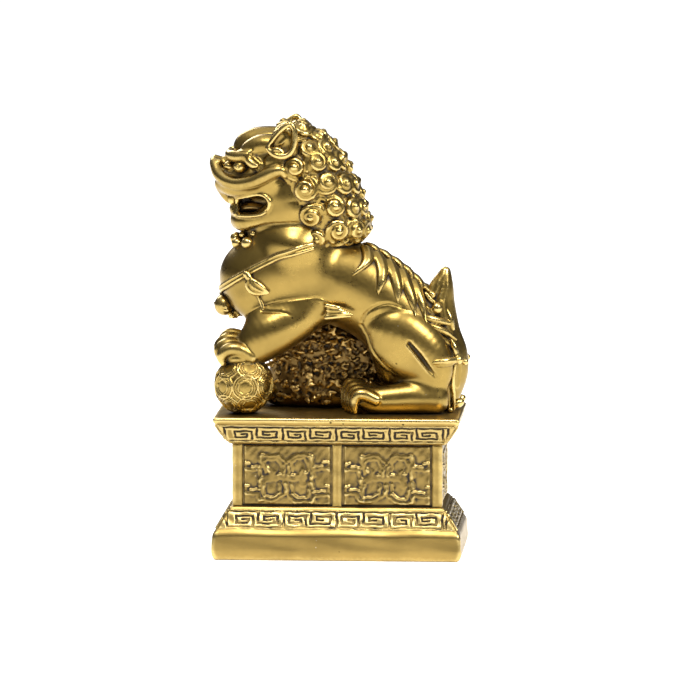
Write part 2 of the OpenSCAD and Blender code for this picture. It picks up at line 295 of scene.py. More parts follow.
def studio_room():
    """A room that is bright overhead and dim towards the horizon."""
    tree = world.node_tree
    term = Term(tree, None)
    way = term.node("ShaderNodeTexCoord", out=0)
    height = term.node("ShaderNodeSeparateXYZ", {}, {"Vector": way}, out=2)
    sky = height.between(0.05, 0.75)
    tree.links.new(sky.mix((0.045, 0.042, 0.04), (0.3, 0.3, 0.3)).socket,
                   tree.nodes["Background"].inputs["Color"])
    tree.nodes["Background"].inputs["Strength"].default_value = 1.0


studio_room()

# %% [markdown]
# The clay. A form is kept as a block of small cells, each holding its distance to the surface:
# less than nothing inside, more outside. Two forms then join by taking the smaller distance,
# and taking it softly leaves the rounded fillet that a thumb would leave between two rolls of
# clay. A tool mark is cut the same way, with the sign turned round.

# %% Clay
CELL = 0.4
FINE = CELL / 2                  # for the smallest pieces
FAR = 9.0                        # what a cell holds when nothing is near
REACH = 3.2                      # how far round a stroke its distances are worked out


def soft_min(a, b, soft):
    """The smaller of two distances, with a fillet where they are nearly equal."""
    share = np.clip(0.5 + 0.5 * (b - a) / soft, 0, 1)
    return b + (a - b) * share - soft * share * (1 - share)


def smooth_path(path, steps=5):
    """Points on a smooth curve through the given ones (their last number is a radius)."""
    path = np.array(path, float)
    if len(path) < 3:
        return path
    ends = np.vstack([2 * path[0] - path[1], path, 2 * path[-1] - path[-2]])
    points = []
    for a, b, c, d in zip(ends, ends[1:], ends[2:], ends[3:]):
        for t in np.arange(steps) / steps:
            points.append(0.5 * (2 * b + (c - a) * t + (2 * a - 5 * b + 4 * c - d) * t * t
                                 + (3 * b - a - 3 * c + d) * t ** 3))
    return np.vstack([points, path[-1:]])


# %% [markdown]
# A block of clay takes a few strokes: a ball or egg, a roll along a curve, and the same two as
# cuts. It can be levelled, mirrored, melted into another block, and asked where its skin is,
# so that thin things such as a cord or a lock of hair can be laid on the finished skin.

# %% The block of clay
def sample(field, place):
    """What a block of cells holds at places counted in cells, blended between the cells."""
    place = np.clip(place, 0, np.array(field.shape) - 1.001)
    cell = place.astype(int)
    part = place - cell
    total = 0
    for corner in np.ndindex(2, 2, 2):
        share = np.prod(np.where(corner, part, 1 - part), axis=1)
        total = total + share * field[tuple((cell + corner).T)]
    return total


class Clay:
    """A block of clay between two corners, in millimetres above the plinth's top."""

    def __init__(self, low, high, cell=CELL):
        self.cell = cell
        self.first = np.floor(np.array(low) / cell).astype(int)
        self.shape = np.ceil(np.array(high) / cell).astype(int) - self.first + 1
        self.field = np.full(self.shape, FAR, np.float32)

    def window(self, low, high):
        """The cells between two corners, and where those cells are."""
        cell = self.cell
        start = np.clip(np.floor(np.array(low) / cell).astype(int) - self.first, 0, self.shape)
        stop = np.clip(np.ceil(np.array(high) / cell).astype(int) - self.first + 1, 0, self.shape)
        spans = tuple(slice(a, b) for a, b in zip(start, stop))
        lines = [((self.first[i] + np.arange(start[i], stop[i])) * cell).astype(np.float32)
                 for i in range(3)]
        return spans, np.meshgrid(*lines, indexing="ij", sparse=True)

    def join(self, spans, new, soft, cut):
        """Adds a form's distances to some of the cells, or cuts the form away."""
        old = self.field[spans]
        self.field[spans] = -soft_min(-old, new, soft) if cut else soft_min(old, new, soft)

    def ball(self, at, r, soft=0.8, cut=False, lean=0):
        """A ball or egg, leaning in side view by an angle in degrees."""
        at, r = np.array(at, float), np.broadcast_to(np.array(r, float), 3)
        reach = r.max() + REACH
        spans, (x, y, z) = self.window(at - reach, at + reach)
        x, y, z = x - at[0], y - at[1], z - at[2]
        c, s = math.cos(math.radians(lean)), math.sin(math.radians(lean))
        x, z = c * x + s * z, c * z - s * x
        near = np.sqrt((x / r[0]) ** 2 + (y / r[1]) ** 2 + (z / r[2]) ** 2) + 1e-6
        steep = np.sqrt((x / r[0] ** 2) ** 2 + (y / r[1] ** 2) ** 2 + (z / r[2] ** 2) ** 2) + 1e-6
        self.join(spans, near * (near - 1) / steep, soft, cut)

    def roll(self, path, soft=0.6, cut=False, flat=1.0, steps=5):
        """A roll of clay along a smooth curve of (x, y, z, radius), or a groove."""
        points = smooth_path(path, steps)
        wide = points[:, 3:].max() + REACH
        low, high = points[:, :3].min(0) - wide, points[:, :3].max(0) + wide
        spans, _ = self.window(low, high)
        offset = np.array([span.start for span in spans])
        new = np.full([span.stop - span.start for span in spans], FAR, np.float32)
        for a, b in zip(points, points[1:]):
            wide = max(a[3], b[3]) + REACH
            inner, (x, y, z) = self.window(np.minimum(a, b)[:3] - wide,
                                           np.maximum(a, b)[:3] + wide)
            along = b[:3] - a[:3]
            scaled = np.array([along[0], along[1] / flat, along[2]])
            dx, dy, dz = x - a[0], (y - a[1]) / flat, z - a[2]
            t = (dx * scaled[0] + dy * scaled[1] + dz * scaled[2]) / max(scaled @ scaled, 1e-9)
            t = np.clip(t, 0, 1)
            far = np.sqrt((dx - t * scaled[0]) ** 2 + (dy - t * scaled[1]) ** 2
                          + (dz - t * scaled[2]) ** 2) - (a[3] + t * (b[3] - a[3]))
            place = tuple(slice(s.start - o, s.stop - o) for s, o in zip(inner, offset))
            new[place] = np.minimum(new[place], far)
        self.join(spans, new, soft, cut)

    def level(self, z, soft=0.5):
        """Cuts off all below a height."""
        top = (self.first + self.shape) * self.cell
        spans, (_, _, height) = self.window(self.first * self.cell, top)
        self.field = -soft_min(-self.field, (height - z) + 0 * self.field, soft)

    def melt(self, other, soft):
        """Joins another block's clay to this one."""
        start = other.first - self.first
        spans = tuple(slice(a, a + n) for a, n in zip(start, other.shape))
        self.join(spans, other.field, soft, False)

    def both(self):
        """The same block with its left half, which ends at or before y = 0, mirrored too."""
        gap = 1 - int(self.first[1] + self.shape[1])
        half = np.pad(self.field, ((0, 0), (0, gap), (0, 0)), constant_values=FAR)
        whole = Clay((0, 0, 0), (0, 0, 0), self.cell)
        whole.first = self.first.copy()
        whole.field = np.concatenate([half, half[:, -2::-1]], axis=1)
        whole.shape = np.array(whole.field.shape)
        return whole

    def other_side(self):
        """The block seen in a mirror: the left one becomes the right one."""
        turned = Clay((0, 0, 0), (0, 0, 0), self.cell)
        turned.first = self.first * [1, -1, 1] - [0, self.shape[1] - 1, 0]
        turned.shape = self.shape.copy()
        turned.field = self.field[:, ::-1].copy()
        return turned

    def read(self, points):
        """The distance to the surface at each point."""
        return sample(self.field, np.array(points, float) / self.cell - self.first)

    def out(self, points):
        """Which way is straight out of the clay at each point."""
        points = np.array(points, float)
        step = np.eye(3) * self.cell
        slope = np.stack([self.read(points + s) - self.read(points - s) for s in step], axis=1)
        return slope / np.maximum(np.linalg.norm(slope, axis=1, keepdims=True), 1e-6)

    def settle(self, points, up=0.0):
        """Points moved onto the surface, and then out of it by a distance."""
        points = np.array(points, float)
        for _ in range(8):
            points = points - self.out(points) * (self.read(points) - up)[:, None] * 0.8
        return points

    def lay(self, on, path, up=0.0, soft=0.4, cut=False, flat=1.0):
        """A roll whose path, given roughly, first settles on another block's surface."""
        path = smooth_path(path, 3)
        placed = on.settle(path[:, :3], up)
        self.roll(np.hstack([placed, path[:, 3:]]), soft, cut, flat, steps=1)

# %% [markdown]
# The body first, as big plain masses: chest, shoulder, barrel and rump down the middle, then
# the limbs. Each limb is its own block, so that it stays its own piece, but all of them are
# melted into one skin before the pieces are cut apart again, as they would come from one mould.
# A lion is the same on both sides but for its forelegs, so one half is modelled and mirrored.

# %% Trunk and neck
trunk = Clay((-46, -22, 4), (44, 0, 74))
trunk.ball((-24.8, 0, 45.4), (16.6, 14.5, 14.6), 1)
trunk.roll([(-21, 0, 52.5, 13.2), (-17.5, 0, 57, 13.6), (-11, 0, 61, 13)], 4)
trunk.ball((-14.5, -5.5, 57), (11.5, 11.4, 8.6), 3, lean=-12)
trunk.roll([(-16, 0, 48, 14.5), (-4, 0, 45, 15), (6, 0, 41.5, 14.8), (15, 0, 35.6, 14.4),
            (21.5, 0, 27.5, 14), (24, 0, 17, 12.5)], 4, flat=0.88)
trunk.ball((-13, -7, 47), (11, 8, 12), 4, lean=-25)
trunk.ball((-30, -5.5, 38.6), (6.5, 7, 6), 3)
trunk_whole = trunk.both()
print("trunk cells", trunk_whole.field.size)


# %% [markdown]
# The left forepaw rests on the ball and the right foreleg stands straight, so they are two
# blocks. The hind legs are folded alike, so one is modelled and mirrored. A leg is one thick
# roll that narrows to the paw, and each toe is a roll bent over its knuckle.

# %% Limbs
def claws(clay, toes):
    """Toes side by side, each a roll over its knuckle and down to its claw."""
    for toe in toes:
        clay.roll(toe, 0.5)


def hind_toe(k):
    """One toe of a hind paw, counted from the outer side."""
    return [(13, -14.4 + 2.6 * k, 5.2 + 0.6 * k, 2),
            (9.2 - 1.2 * k, -14.6 + 2.7 * k, 6.9 + 0.8 * k, 2.1),
            (6.6 - 1.2 * k, -14.7 + 2.8 * k, 6.6 + 0.8 * k, 2),
            (5.6 - 1.2 * k, -14.7 + 2.8 * k, 3.6, 1.6),
            (6 - 1.2 * k, -14.7 + 2.8 * k, 1, 0.8)]


left_foreleg = Clay((-46, -23, 13), (4, -1, 50))
left_foreleg.roll([(-10, -7, 39, 5), (-8, -8.6, 36.6, 5.8), (-13, -10.2, 33, 6.9),
                   (-19, -11.4, 29.6, 7.8), (-24.6, -12.2, 26.6, 8), (-29, -12.6, 22.6, 6.2),
                   (-32.5, -12.6, 20.6, 4.6)], 1, flat=0.85)
left_foreleg.ball((-33.5, -12.4, 19.2), (5.5, 6.5, 3.2), 2)
claws(left_foreleg, [
    [(-29.5, -16, 19.8, 2.6), (-33.5, -17, 22.2, 2.5), (-37, -17.2, 22.2, 2.3),
     (-39.2, -17.2, 20.2, 1.9), (-38.8, -17, 17.6, 1)],
    [(-31, -14, 22.3, 2.4), (-35, -14.2, 23.5, 2.4), (-38, -14.4, 23.6, 2.3),
     (-40.3, -14.4, 21.8, 1.9), (-40, -14.2, 18.4, 1)],
    [(-31.5, -11, 23.6, 2.4), (-35.5, -11.2, 24.9, 2.4), (-38.3, -11.2, 25, 2.2),
     (-40.7, -11.2, 22.8, 1.8), (-40.6, -11.2, 19.5, 1)],
    [(-31, -8.2, 24.8, 2.3), (-34.7, -8.2, 26.1, 2.2), (-37.5, -8.2, 26.4, 2.1),
     (-39.7, -8.2, 24.2, 1.7), (-39.7, -8.2, 21, 1)]])

right_foreleg = Clay((-34, 3, -1), (-2, 22, 50))
right_foreleg.roll([(-13, 9.5, 44, 8.5), (-15, 11.5, 33, 7), (-17.5, 12.2, 20, 5.4),
                    (-18.5, 12.4, 10, 4.8), (-20, 12.4, 5.5, 4.8), (-23, 12.4, 4, 4)], 1, flat=0.9)
claws(right_foreleg, [[(-20, y, 6, 2.3), (-24, y, 6.6, 2.2), (-27, y, 4.6, 1.8),
                       (-27.8, y, 1.4, 0.9)] for y in (8.4, 11, 13.8, 16.4)])
right_foreleg.level(0)

hind = Clay((0, -22, -1), (43, 0, 42))
hind.roll([(13.6, -7.5, 30, 6.4), (19.5, -8, 27.6, 9.4), (26.5, -8, 22.5, 9.4),
           (31, -8, 16.5, 8), (31, -8.3, 9.5, 6), (31.5, -8.6, 5, 4.8)], 1, flat=0.74)
hind.roll([(16.5, -8, 23, 6.4), (21.5, -8.4, 18.8, 6.4), (28, -8.4, 16, 6)], 2.5, flat=0.8)
hind.roll([(32.4, -8.8, 4.8, 4.9), (26, -9.8, 5.4, 5.5), (19, -10.4, 5, 5), (13, -10.8, 4.7, 4.6),
           (9.5, -10.8, 5.3, 4.1)], 2.6, flat=0.95)
claws(hind, [hind_toe(k) for k in range(4)])
hind.roll([(24.2, -16.5, 24.6, 0.9), (27.7, -16.3, 20.4, 1.1), (31.5, -15.5, 15.2, 0.9),
           (35.3, -14.5, 10.4, 0.35)], 0.5, cut=True, flat=3)
hind.roll([(20.8, -17, 12.5, 0.7), (23.3, -17, 11.9, 1.0), (25.6, -17, 11.8, 0.7)], 0.4,
          cut=True, flat=5)
hind.level(0)
print("limbs modelled")

# %% [markdown]
# The head is built the way a carver reads it: a skull with three swelling lobes over the
# brow, a square muzzle, a heavy lower jaw, and one deep cut for the snarling mouth, whose lips
# are rolled back over it.

# %% Head
head = Clay((-46, -20, 56), (0, 0, 101))
head.ball((-23.6, 0, 84), (13.2, 12.4, 12.2), 1)
head.ball((-16, -2.5, 76), (14, 11.4, 13), 3)
head.ball((-13, 0, 67), (12, 11.5, 8), 3)
head.roll([(-36, -3, 78.3, 5), (-30, -4.5, 78.5, 6), (-23, -5.5, 78, 7.5)], 2)
head.roll([(-39.6, -2, 76, 2.6), (-38.2, -3, 73.6, 2.2), (-37, -3.4, 72, 1.6)], 1.2)
head.roll([(-40, -3.5, 77.7, 2.8), (-36.5, -7.2, 76.6, 3), (-32, -9, 76.8, 3.2),
           (-27, -10.2, 78, 3.4), (-22, -11, 79, 3.6)], 1.2)
head.roll([(-34, 0, 85, 3.6), (-38.5, 0, 83.3, 2.8)], 1.2)
head.roll([(-33.6, 0, 87.6, 3), (-32.6, 0, 90.6, 3.8), (-29, 0, 92.4, 4.2),
           (-23, 0, 92.9, 4.2), (-17, 0, 92, 4)], 0.5)
head.roll([(-31.2, -7.6, 87.6, 3.2), (-29.6, -7.8, 89.6, 3.7), (-25.5, -8.4, 91.2, 4),
           (-19, -9, 90.5, 4.2)], 0.5)
head.ball((-20, -13, 86), (5, 2.5, 3.5), 2)
head.ball((-17.5, -5.6, 72), (9.5, 9, 9.5), 3)
head.ball((-34.8, -11, 83.8), (4.2, 3.4, 2.1), 1, cut=True, lean=8)
head.ball((-29, -13.4, 83), (3.4, 1.5, 1.1), 1, cut=True, lean=-25)
for depth in (-15, -12.5, -10, -8):
    head.roll([(-33.6, depth, 70.7, 2.2), (-31, depth, 70.9, 3.0), (-27.4, depth, 71.4, 2.5),
               (-25, depth, 71.8, 1.3)], 0.5, cut=True)
head.ball((-35.4, 0, 71), (2.6, 5.4, 4.2), 0.8)
head.roll([(-34, 0, 71, 4.2), (-24, 0, 71.6, 4.2)], 0.3, flat=0.7)
print("head modelled")

# %% [markdown]
# The lower jaw is a heavy bow, thickest at the chin, with its own rolled lip. It is cut by the
# same mouth, so that the two lips meet in one curve at the corner.

# %% Lower jaw
jaw = Clay((-42, -18, 58), (-6, 0, 72))
jaw.roll([(-34, -1.5, 65, 3.6), (-32.5, -4.5, 64.8, 3.4), (-28, -7.5, 65.6, 3),
          (-22, -9.4, 67.4, 3.6), (-15, -9.6, 69, 5)], 1)
jaw.ball((-31, 0, 65.4), (6, 6, 3.4), 1.5)
jaw.roll([(-36.2, -2.4, 68.3, 1.2), (-34.6, -6.4, 67.4, 1.1), (-30, -9.6, 67.4, 1),
          (-25.6, -11.6, 68.6, 1)], 0.5)
for depth in (-15, -12.5, -10):
    jaw.roll([(-33, depth, 70.6, 2.2), (-30, depth, 70.9, 3.0), (-27, depth, 71.4, 2.4)], 0.4,
             cut=True)
print("jaw modelled")

# %% [markdown]
# The upper lip is one long roll from the turned-up nose to a knob on the cheek. Nose and brows
# are short thick rolls. They are kept as blocks of their own, because they are separate pieces.

# %% Lip, nose and brows
lip = Clay((-47, -20, 73), (-12, 0, 90))
lip.roll([(-43, 0, 85.6, 1.5), (-42.8, -2.4, 84.4, 1.9), (-41.4, -5, 81.4, 2.2),
          (-39.2, -7.6, 79.6, 2.3), (-36.7, -9.4, 78.6, 2.4), (-33.5, -11, 78.3, 2.5),
          (-28.7, -12.7, 79.3, 2.6), (-24.8, -14, 81.2, 2.6), (-21.6, -14.7, 82.8, 2.4),
          (-19.4, -15, 83.2, 2.1), (-17.8, -14.8, 82, 1.7)], 0.4)
nose = Clay((-48, -8, 78), (-32, 0, 92))
nose.roll([(-36, 0, 85.2, 2.8), (-39.5, 0, 84.4, 2.4), (-42.6, 0, 85.4, 1.9)], 0.5)
nose.ball((-37.6, -5, 83.6), (2.3, 2.3, 2.1), 0.3)
nose.ball((-41.4, -2.6, 84.6), (1.5, 1.7, 1.7), 0.3)
nose.ball((-41.8, -4.2, 84.4), (0.7, 0.9, 0.7), 0.2, cut=True)
brows = Clay((-42, -16, 82), (-24, 0, 93))
brows.roll([(-37, -3.4, 89, 1.2), (-37.4, -5.2, 87.9, 1.9), (-36, -7.8, 87.5, 2.2),
            (-33.4, -10, 87.5, 2.1), (-31, -11.2, 88.3, 1.5), (-29.6, -11.6, 89.4, 0.5)], 0.25)
brows.roll([(-31.6, -10.6, 87.6, 1.5), (-30, -11.8, 85.9, 1.8), (-28, -12.6, 84.4, 1.6),
            (-26, -13.2, 83.6, 0.7)], 1.2)

# %% [markdown]
# The tail stands straight up against the rump like a flame: a broad root, a waist and a blunt
# tip, with long grooves for the strands of hair.

# %% Tail
tail = Clay((27, -13, -1), (48, 0, 53))
tail.roll([(36, 0, 4, 4.4), (38.4, 0, 13, 5.2), (38.4, 0, 20, 5), (36.4, 0, 27, 4.6),
           (34.4, 0, 36, 4.8), (34.4, 0, 41.5, 4.3), (35.2, 0, 45, 3), (35.8, 0, 47.6, 1.9)], 1)
tail.roll([(38, -2.5, 10, 3.6), (38.8, -3, 18, 3.4), (36.6, -3.6, 26, 3), (34.6, -3.4, 36, 2.3),
           (35.2, -2.2, 44, 1.2), (35.8, -0.8, 48, 0.6)], 0.6)
tail.roll([(33, -3.4, 30, 2.4), (31.4, -3, 37, 2.2), (31.6, -2, 42.4, 1.6),
           (33.4, -1, 46, 0.8)], 0.5)
for path in ([(31.8, -6, 38.5, 0.7), (33.8, -5, 42.4, 0.8), (35, -4, 46, 0.4)],
             [(35, -6.4, 39, 0.6), (36.2, -5, 43, 0.7), (36.2, -3.4, 46.6, 0.3)],
             [(37.8, -7, 24, 0.5), (40.6, -5.5, 17, 0.6), (40.6, -5.4, 9, 0.5)]):
    tail.lay(tail, path, 0.2, 0.4, cut=True)
tail.level(0)

# %% [markdown]
# Now the masses are melted together, softly, in one block. The shoulder, the thigh and the
# mouth keep their drawn lines because a crease is cut round each after the melting.

# %% Melt the body together
core = Clay((-49, -24, -2), (49, 24, 102))
core.melt(trunk_whole, 0.5)
core.melt(left_foreleg, 6)
core.melt(right_foreleg, 2.2)
hind_far = hind.other_side()
core.melt(hind, 0.6)
core.melt(hind_far, 0.6)
head_whole, jaw_whole, tail_whole = head.both(), jaw.both(), tail.both()
lip_whole, nose_whole, brows_whole = lip.both(), nose.both(), brows.both()
core.melt(head_whole, 1.8)
core.melt(jaw_whole, 2.2)
core.melt(lip_whole, 0.8)
core.melt(nose_whole, 0.8)
core.melt(brows_whole, 1.1)
core.melt(tail_whole, 1.2)


def on_both(path):
    """A path and its mirror image."""
    path = np.array(path, float)
    return path, path * [1, -1, 1, 1]


def crease(path, soft=0.5, sides=(0, 1)):
    """A tool line drawn on the skin of the body."""
    for side in sides:
        core.lay(core, on_both(path)[side], 0.1, soft, cut=True)


def ridge(path, up, soft):
    """A thin roll laid on the skin of both sides of the body."""
    for line in on_both(path):
        core.lay(core, line, up, soft)


crease([(7.4, -13, 30.5, 0.5), (9, -13, 33.8, 0.6), (12, -13, 36.4, 0.55), (17, -13, 38, 0.4),
        (22, -12.5, 36.6, 0.3)])
crease([(7, -12, 29.5, 0.5), (8.6, -12, 25.5, 0.6), (11.6, -12, 20.6, 0.6), (15.4, -12, 15.4, 0.6),
        (19, -12, 13.2, 0.4)])
crease([(-25.5, -15, 35.5, 0.55), (-22.6, -15, 34.6, 0.5), (-19.5, -15, 34.2, 0.4),
        (-16, -15, 33.4, 0.15)], sides=(0,))
crease([(-30.4, -8, 61.6, 0.6), (-25.3, -11, 64, 0.5), (-19, -13, 65, 0.45),
        (-12, -14, 65, 0.4)])
ridge([(-35.2, -7.8, 74.4, 0.7), (-31.7, -10, 75, 0.7), (-28.4, -11.4, 75.3, 0.75),
       (-25, -12.4, 74.6, 0.8), (-23, -13, 72.6, 0.85), (-23.4, -12.6, 70.2, 0.8),
       (-26, -12, 68.2, 0.7), (-30, -10.6, 67.3, 0.7), (-34, -8, 67.2, 0.7)], 0.1, 0.4)
ridge([(-34, -7, 88.6, 0.1), (-30, -9, 86.5, 0.5), (-27, -12, 84.6, 0.6),
       (-24, -13.4, 84.2, 0.3)], 0, 0.8)
crease([(-35.8, -6, 71.2, 0.3), (-36.6, -3, 70.6, 0.4), (-36.8, 0, 70.4, 0.4)])
crease([(-35, -3.6, 87.2, 0.4), (-32.6, -4.6, 91, 0.6), (-27, -5, 94, 0.6),
        (-20, -5.4, 95, 0.4)], 0.9)
crease([(-38.8, -7, 82.6, 0.4), (-36, -9.6, 81.4, 0.8), (-33, -11, 81.2, 0.9),
        (-29.4, -12.4, 82.2, 0.9), (-26, -13.6, 84.2, 0.5)], 0.8)
print("body melted")

# %% [markdown]
# Hair on the flank hangs from the spine in pointed locks, two or three strands to a lock, with
# the dark of the ground showing between them.

# %% Flank hair and spine
flank = Clay((0, -18, 26), (38, 0, 66))
LOCKS = [((9.6, 57.5), (9.6, 53), (8.2, 50.4), (4.6, 47.4)),
         ((13, 55), (14.4, 50), (14.4, 45), (13.6, 41)),
         ((17.2, 51.6), (18.6, 47.4), (20.2, 42.6), (20.6, 38.2)),
         ((21.6, 48.4), (23, 44.4), (25.4, 39), (27, 34.2)),
         ((26, 45), (27.8, 41.4), (30.2, 37), (32, 33))]
for row, lock in enumerate(LOCKS):
    for fan, wide in ((-1.3, 1.1), (0.0, 1.35), (1.35, 1.1)):
        path = [(x + fan * (1.3 - 0.34 * i) + (0 if row else 0.3), -5 - 2.6 * i,
                 z + fan * (0.5 - 0.1 * i) + (1.2 if i == 3 and fan else 0),
                 wide * (1, 1.05, 0.85, 0.2)[i]) for i, (x, z) in enumerate(lock)]
        flank.lay(core, path, 0.1, 0.3)
spine = Clay((6, -9, 36), (36, 0, 66), FINE)
for x, z in ((11.6, 58), (15.4, 54.6), (19.2, 51.4), (22.8, 48.4), (26.2, 45.2), (29.2, 41.8)):
    for fan in (-1, 0, 1):
        spine.lay(core, [(x - 1.6, fan * 0.6, z + 1.6, 0.7), (x + 0.6, fan * 1.4 - 0.5, z, 1.0),
                         (x + 2.8, fan * 2.4 - 1, z - 2.4, 0.4)], 0.45, 0.15)
    spine.lay(core, [(x + 1.6, -1, z - 1, 0.9), (x + 2.2, -3.6, z - 1.8, 0.9),
                     (x + 2.4, -6, z - 3, 0.4)], 0.2, 0.15)
print("hair laid")

# %% [markdown]
# The harness is a flat double cord round the chest, with a leaf-shaped tassel on each side and
# a bell at the breast. The cord and the tassels are laid on the finished skin; the bell is
# modelled in place.

# %% Harness
strap = Clay((-46, -20, 36), (-4, 0, 62), FINE)
for shift, wide in ((0.7, 0.8), (-0.5, 0.75)):
    strap.lay(core, [(-9.5, -14, 57.2 + shift, wide), (-14, -15, 56.2 + shift, wide),
                     (-19.5, -15, 54.2 + shift, wide), (-26, -14, 50.9 + shift, wide),
                     (-31.4, -12, 47.4 + shift, wide), (-36, -8.5, 44.3 + shift, wide),
                     (-39.6, -4.5, 42 + shift, wide), (-41.2, 0, 40.6 + shift, wide)], 0.25, 0.2)
tassel = Clay((-44, -21, 28), (-18, 0, 52), FINE)
tassel.lay(core, [(-30.6, -13, 47.6, 1.3), (-29.9, -13.4, 46.6, 1.2)], 0.9, 0.3)
for path in ([(-30, -14, 46.4, 0.8), (-30.4, -14, 44, 1), (-28.4, -14.4, 41.8, 1.1),
              (-24, -15, 41.3, 0.4)],
             [(-29.6, -14, 46.2, 0.8), (-28.6, -14.4, 44, 1.3), (-26.6, -14.8, 42.6, 1.1),
              (-23.6, -15, 41.5, 0.35)],
             [(-29.2, -14, 46.2, 0.6), (-27.2, -14.6, 44.8, 1), (-25.2, -15, 43.2, 0.8),
              (-23.4, -15, 41.8, 0.3)]):
    tassel.lay(core, path, 1.1, 0.15)
tassel.lay(core, [(-27.4, -14, 40.6, 0.5), (-26, -14, 37.8, 0.7), (-25.2, -13.6, 35.6, 0.4)],
           0.1, 0.3)
bell = Clay((-46, -6, 27), (-30, 0, 42), FINE)
bell.ball((-39.6, -2, 35.9), (3.5, 3.9, 3.6), 0.4)
bell.roll([(-40.6, 0, 39.6, 1), (-39.8, -2, 39.4, 1)], 0.4)
for lean in (0, 1):
    bell.roll([(-43.2 + lean * 0.4, 0, 36.4 - lean, 0.4), (-42 + lean * 0.4, -4, 36 - lean, 0.45),
               (-38.6 + lean * 0.4, -6, 35.4 - lean, 0.4)], 0.2)
bell.roll([(-41.6, 0, 33.4, 0.45), (-40, -1.2, 33, 0.45), (-38.6, -2.4, 33.2, 0.3)], 0.2, cut=True,
          flat=2)
for k in range(9):
    bell.ball((-37.4 + 0.9 * (k % 5), -2.6 - 0.8 * (k % 2), 32.2 + 0.75 * (k // 3)), 0.85, 0.25)
print("harness laid")

# %% [markdown]
# The face's small parts: bulging eyes, hollow ears, teeth and tongue, and the row of beard
# curls. These stay sharp, so they aren't melted into the head.

# %% Face
eyes = Clay((-40, -14, 79), (-28, -3, 89), FINE)
eyes.ball((-33.6, -9, 84), (2.3, 2.5, 2.2), 0.2)
eyes.ball((-34.2, -11.5, 84.2), (0.5, 0.6, 0.5), 0.2, cut=True)
teeth = Clay((-42, -12, 64), (-28, 0, 78), FINE)
teeth.ball((-37.8, -2.2, 73.2), (1.7, 2.2, 2.4), 0.2)
teeth.ball((-36.6, -5, 72.8), (1.6, 1.5, 2.2), 0.2)
teeth.roll([(-34.6, -7, 73.4, 1.2), (-35, -7.2, 71.4, 0.4)], 0.2)
teeth.roll([(-35, -6, 67.6, 1.2), (-34.8, -6.4, 70.4, 0.4)], 0.2)
tongue = Clay((-38, -10, 64), (-20, 0, 76))
tongue.roll([(-34.4, -2, 68.6, 1.4), (-31, -3, 69.8, 1.9), (-27, -3.4, 69.6, 2),
             (-23.5, -3.4, 69, 1.6)], 0.6, flat=1.8)
tongue.roll([(-34, 0, 70.4, 0.4), (-24, 0, 71.6, 0.4)], 0.4, cut=True)
beads = Clay((-44, -13, 54), (-22, 0, 66), FINE)
for x, z, r in ((-35.1, 57.4, 1.9), (-31.2, 57.9, 2), (-33.2, 60.4, 1.2), (-29.3, 61, 1)):
    depths = np.arange(-16, -3.9, 0.1)
    line = np.column_stack([np.full(depths.size, x), depths, np.full(depths.size, z)])
    inside = np.nonzero(core.read(line) < 0.3 * r)[0]
    beads.ball((x, depths[inside[0]] if len(inside) else -4, z), r, 0.15)
beads.ball((-35.6, 0, 58.6), 2.2, 0.15)
ears = Clay((-28, -22, 83), (-10, -8, 102), FINE)
ears.ball((-18.2, -12.6, 91.6), (4.6, 2.6, 6.2), 0.6, lean=22)
ears.roll([(-23.6, -14.8, 91, 1.1), (-21.4, -15.2, 94.4, 1.1), (-18.4, -15.4, 97.8, 1.1),
           (-16, -15.4, 99, 1), (-14.8, -15.4, 96.6, 1.15), (-14.9, -15.6, 92.6, 1.25),
           (-16.2, -16, 89.4, 1.3), (-18.8, -16.4, 88.2, 1.2), (-21.8, -15.8, 89, 1.1),
           (-23.6, -15, 90.8, 1)], 0.3)
for hole in ([(-21.6, -16.2, 91.2, 1.4), (-18.4, -16.2, 91, 2), (-17.2, -16.4, 93, 1.8),
              (-16.2, -16.2, 96.6, 0.9)],
             [(-21.4, -16, 91.4, 1.2), (-18.8, -16, 94.4, 1.5), (-16.4, -16, 96.8, 0.8)]):
    ears.roll(hole, 0.4, cut=True)
ears.roll([(-22.4, -15.6, 90, 0.8), (-20.4, -16, 90.4, 1.1), (-18.8, -16, 89.4, 1)], 0.6)
print("face modelled")

# %% [markdown]
# The mane is a cap of snail curls in rows, each curl a rope wound up over a dome, with the
# strands of the next curl combed in behind it. The rows run from the cheek to the spine, and
# the curls differ a little in size.

# %% Mane
def sideways(out, hint=(0.3, 0.1, 1.0)):
    """Two directions along a surface, at right angles, from the one that points out of it."""
    side = np.cross(out, hint)
    side /= np.linalg.norm(side)
    return side, np.cross(out, side)


def snail(clay, at, out, r, h, spin, turns, hand):
    """A snail curl of hair: a rope wound up over a low dome, round a knob."""
    out = np.array(out) / np.linalg.norm(out)
    side, up = sideways(out)
    tube = r * 0.5 / turns * 0.92
    path = []
    for t in np.linspace(-0.12, 1, int(14 * turns)):
        angle = spin + hand * 2 * math.pi * turns * t
        if t < 0:
            reach, sunk = (r - tube) * (1 - t * 2.2), 0.5
        else:
            reach, sunk = (r - tube) * (1 - t) ** 0.85, 0
        rise = h * (1 - (reach / r) ** 2) - sunk
        place = at + reach * (math.cos(angle) * side + math.sin(angle) * up) + rise * out
        path.append((*place, tube * (0.75 + 0.25 * min(1, 1 - t))))
    clay.ball(at - out * r * 0.25, r * 0.92, 0.3)
    clay.roll(path, 0.12, steps=1)
    clay.ball(at + out * (h + 0.1), tube * 1.3, 0.15)


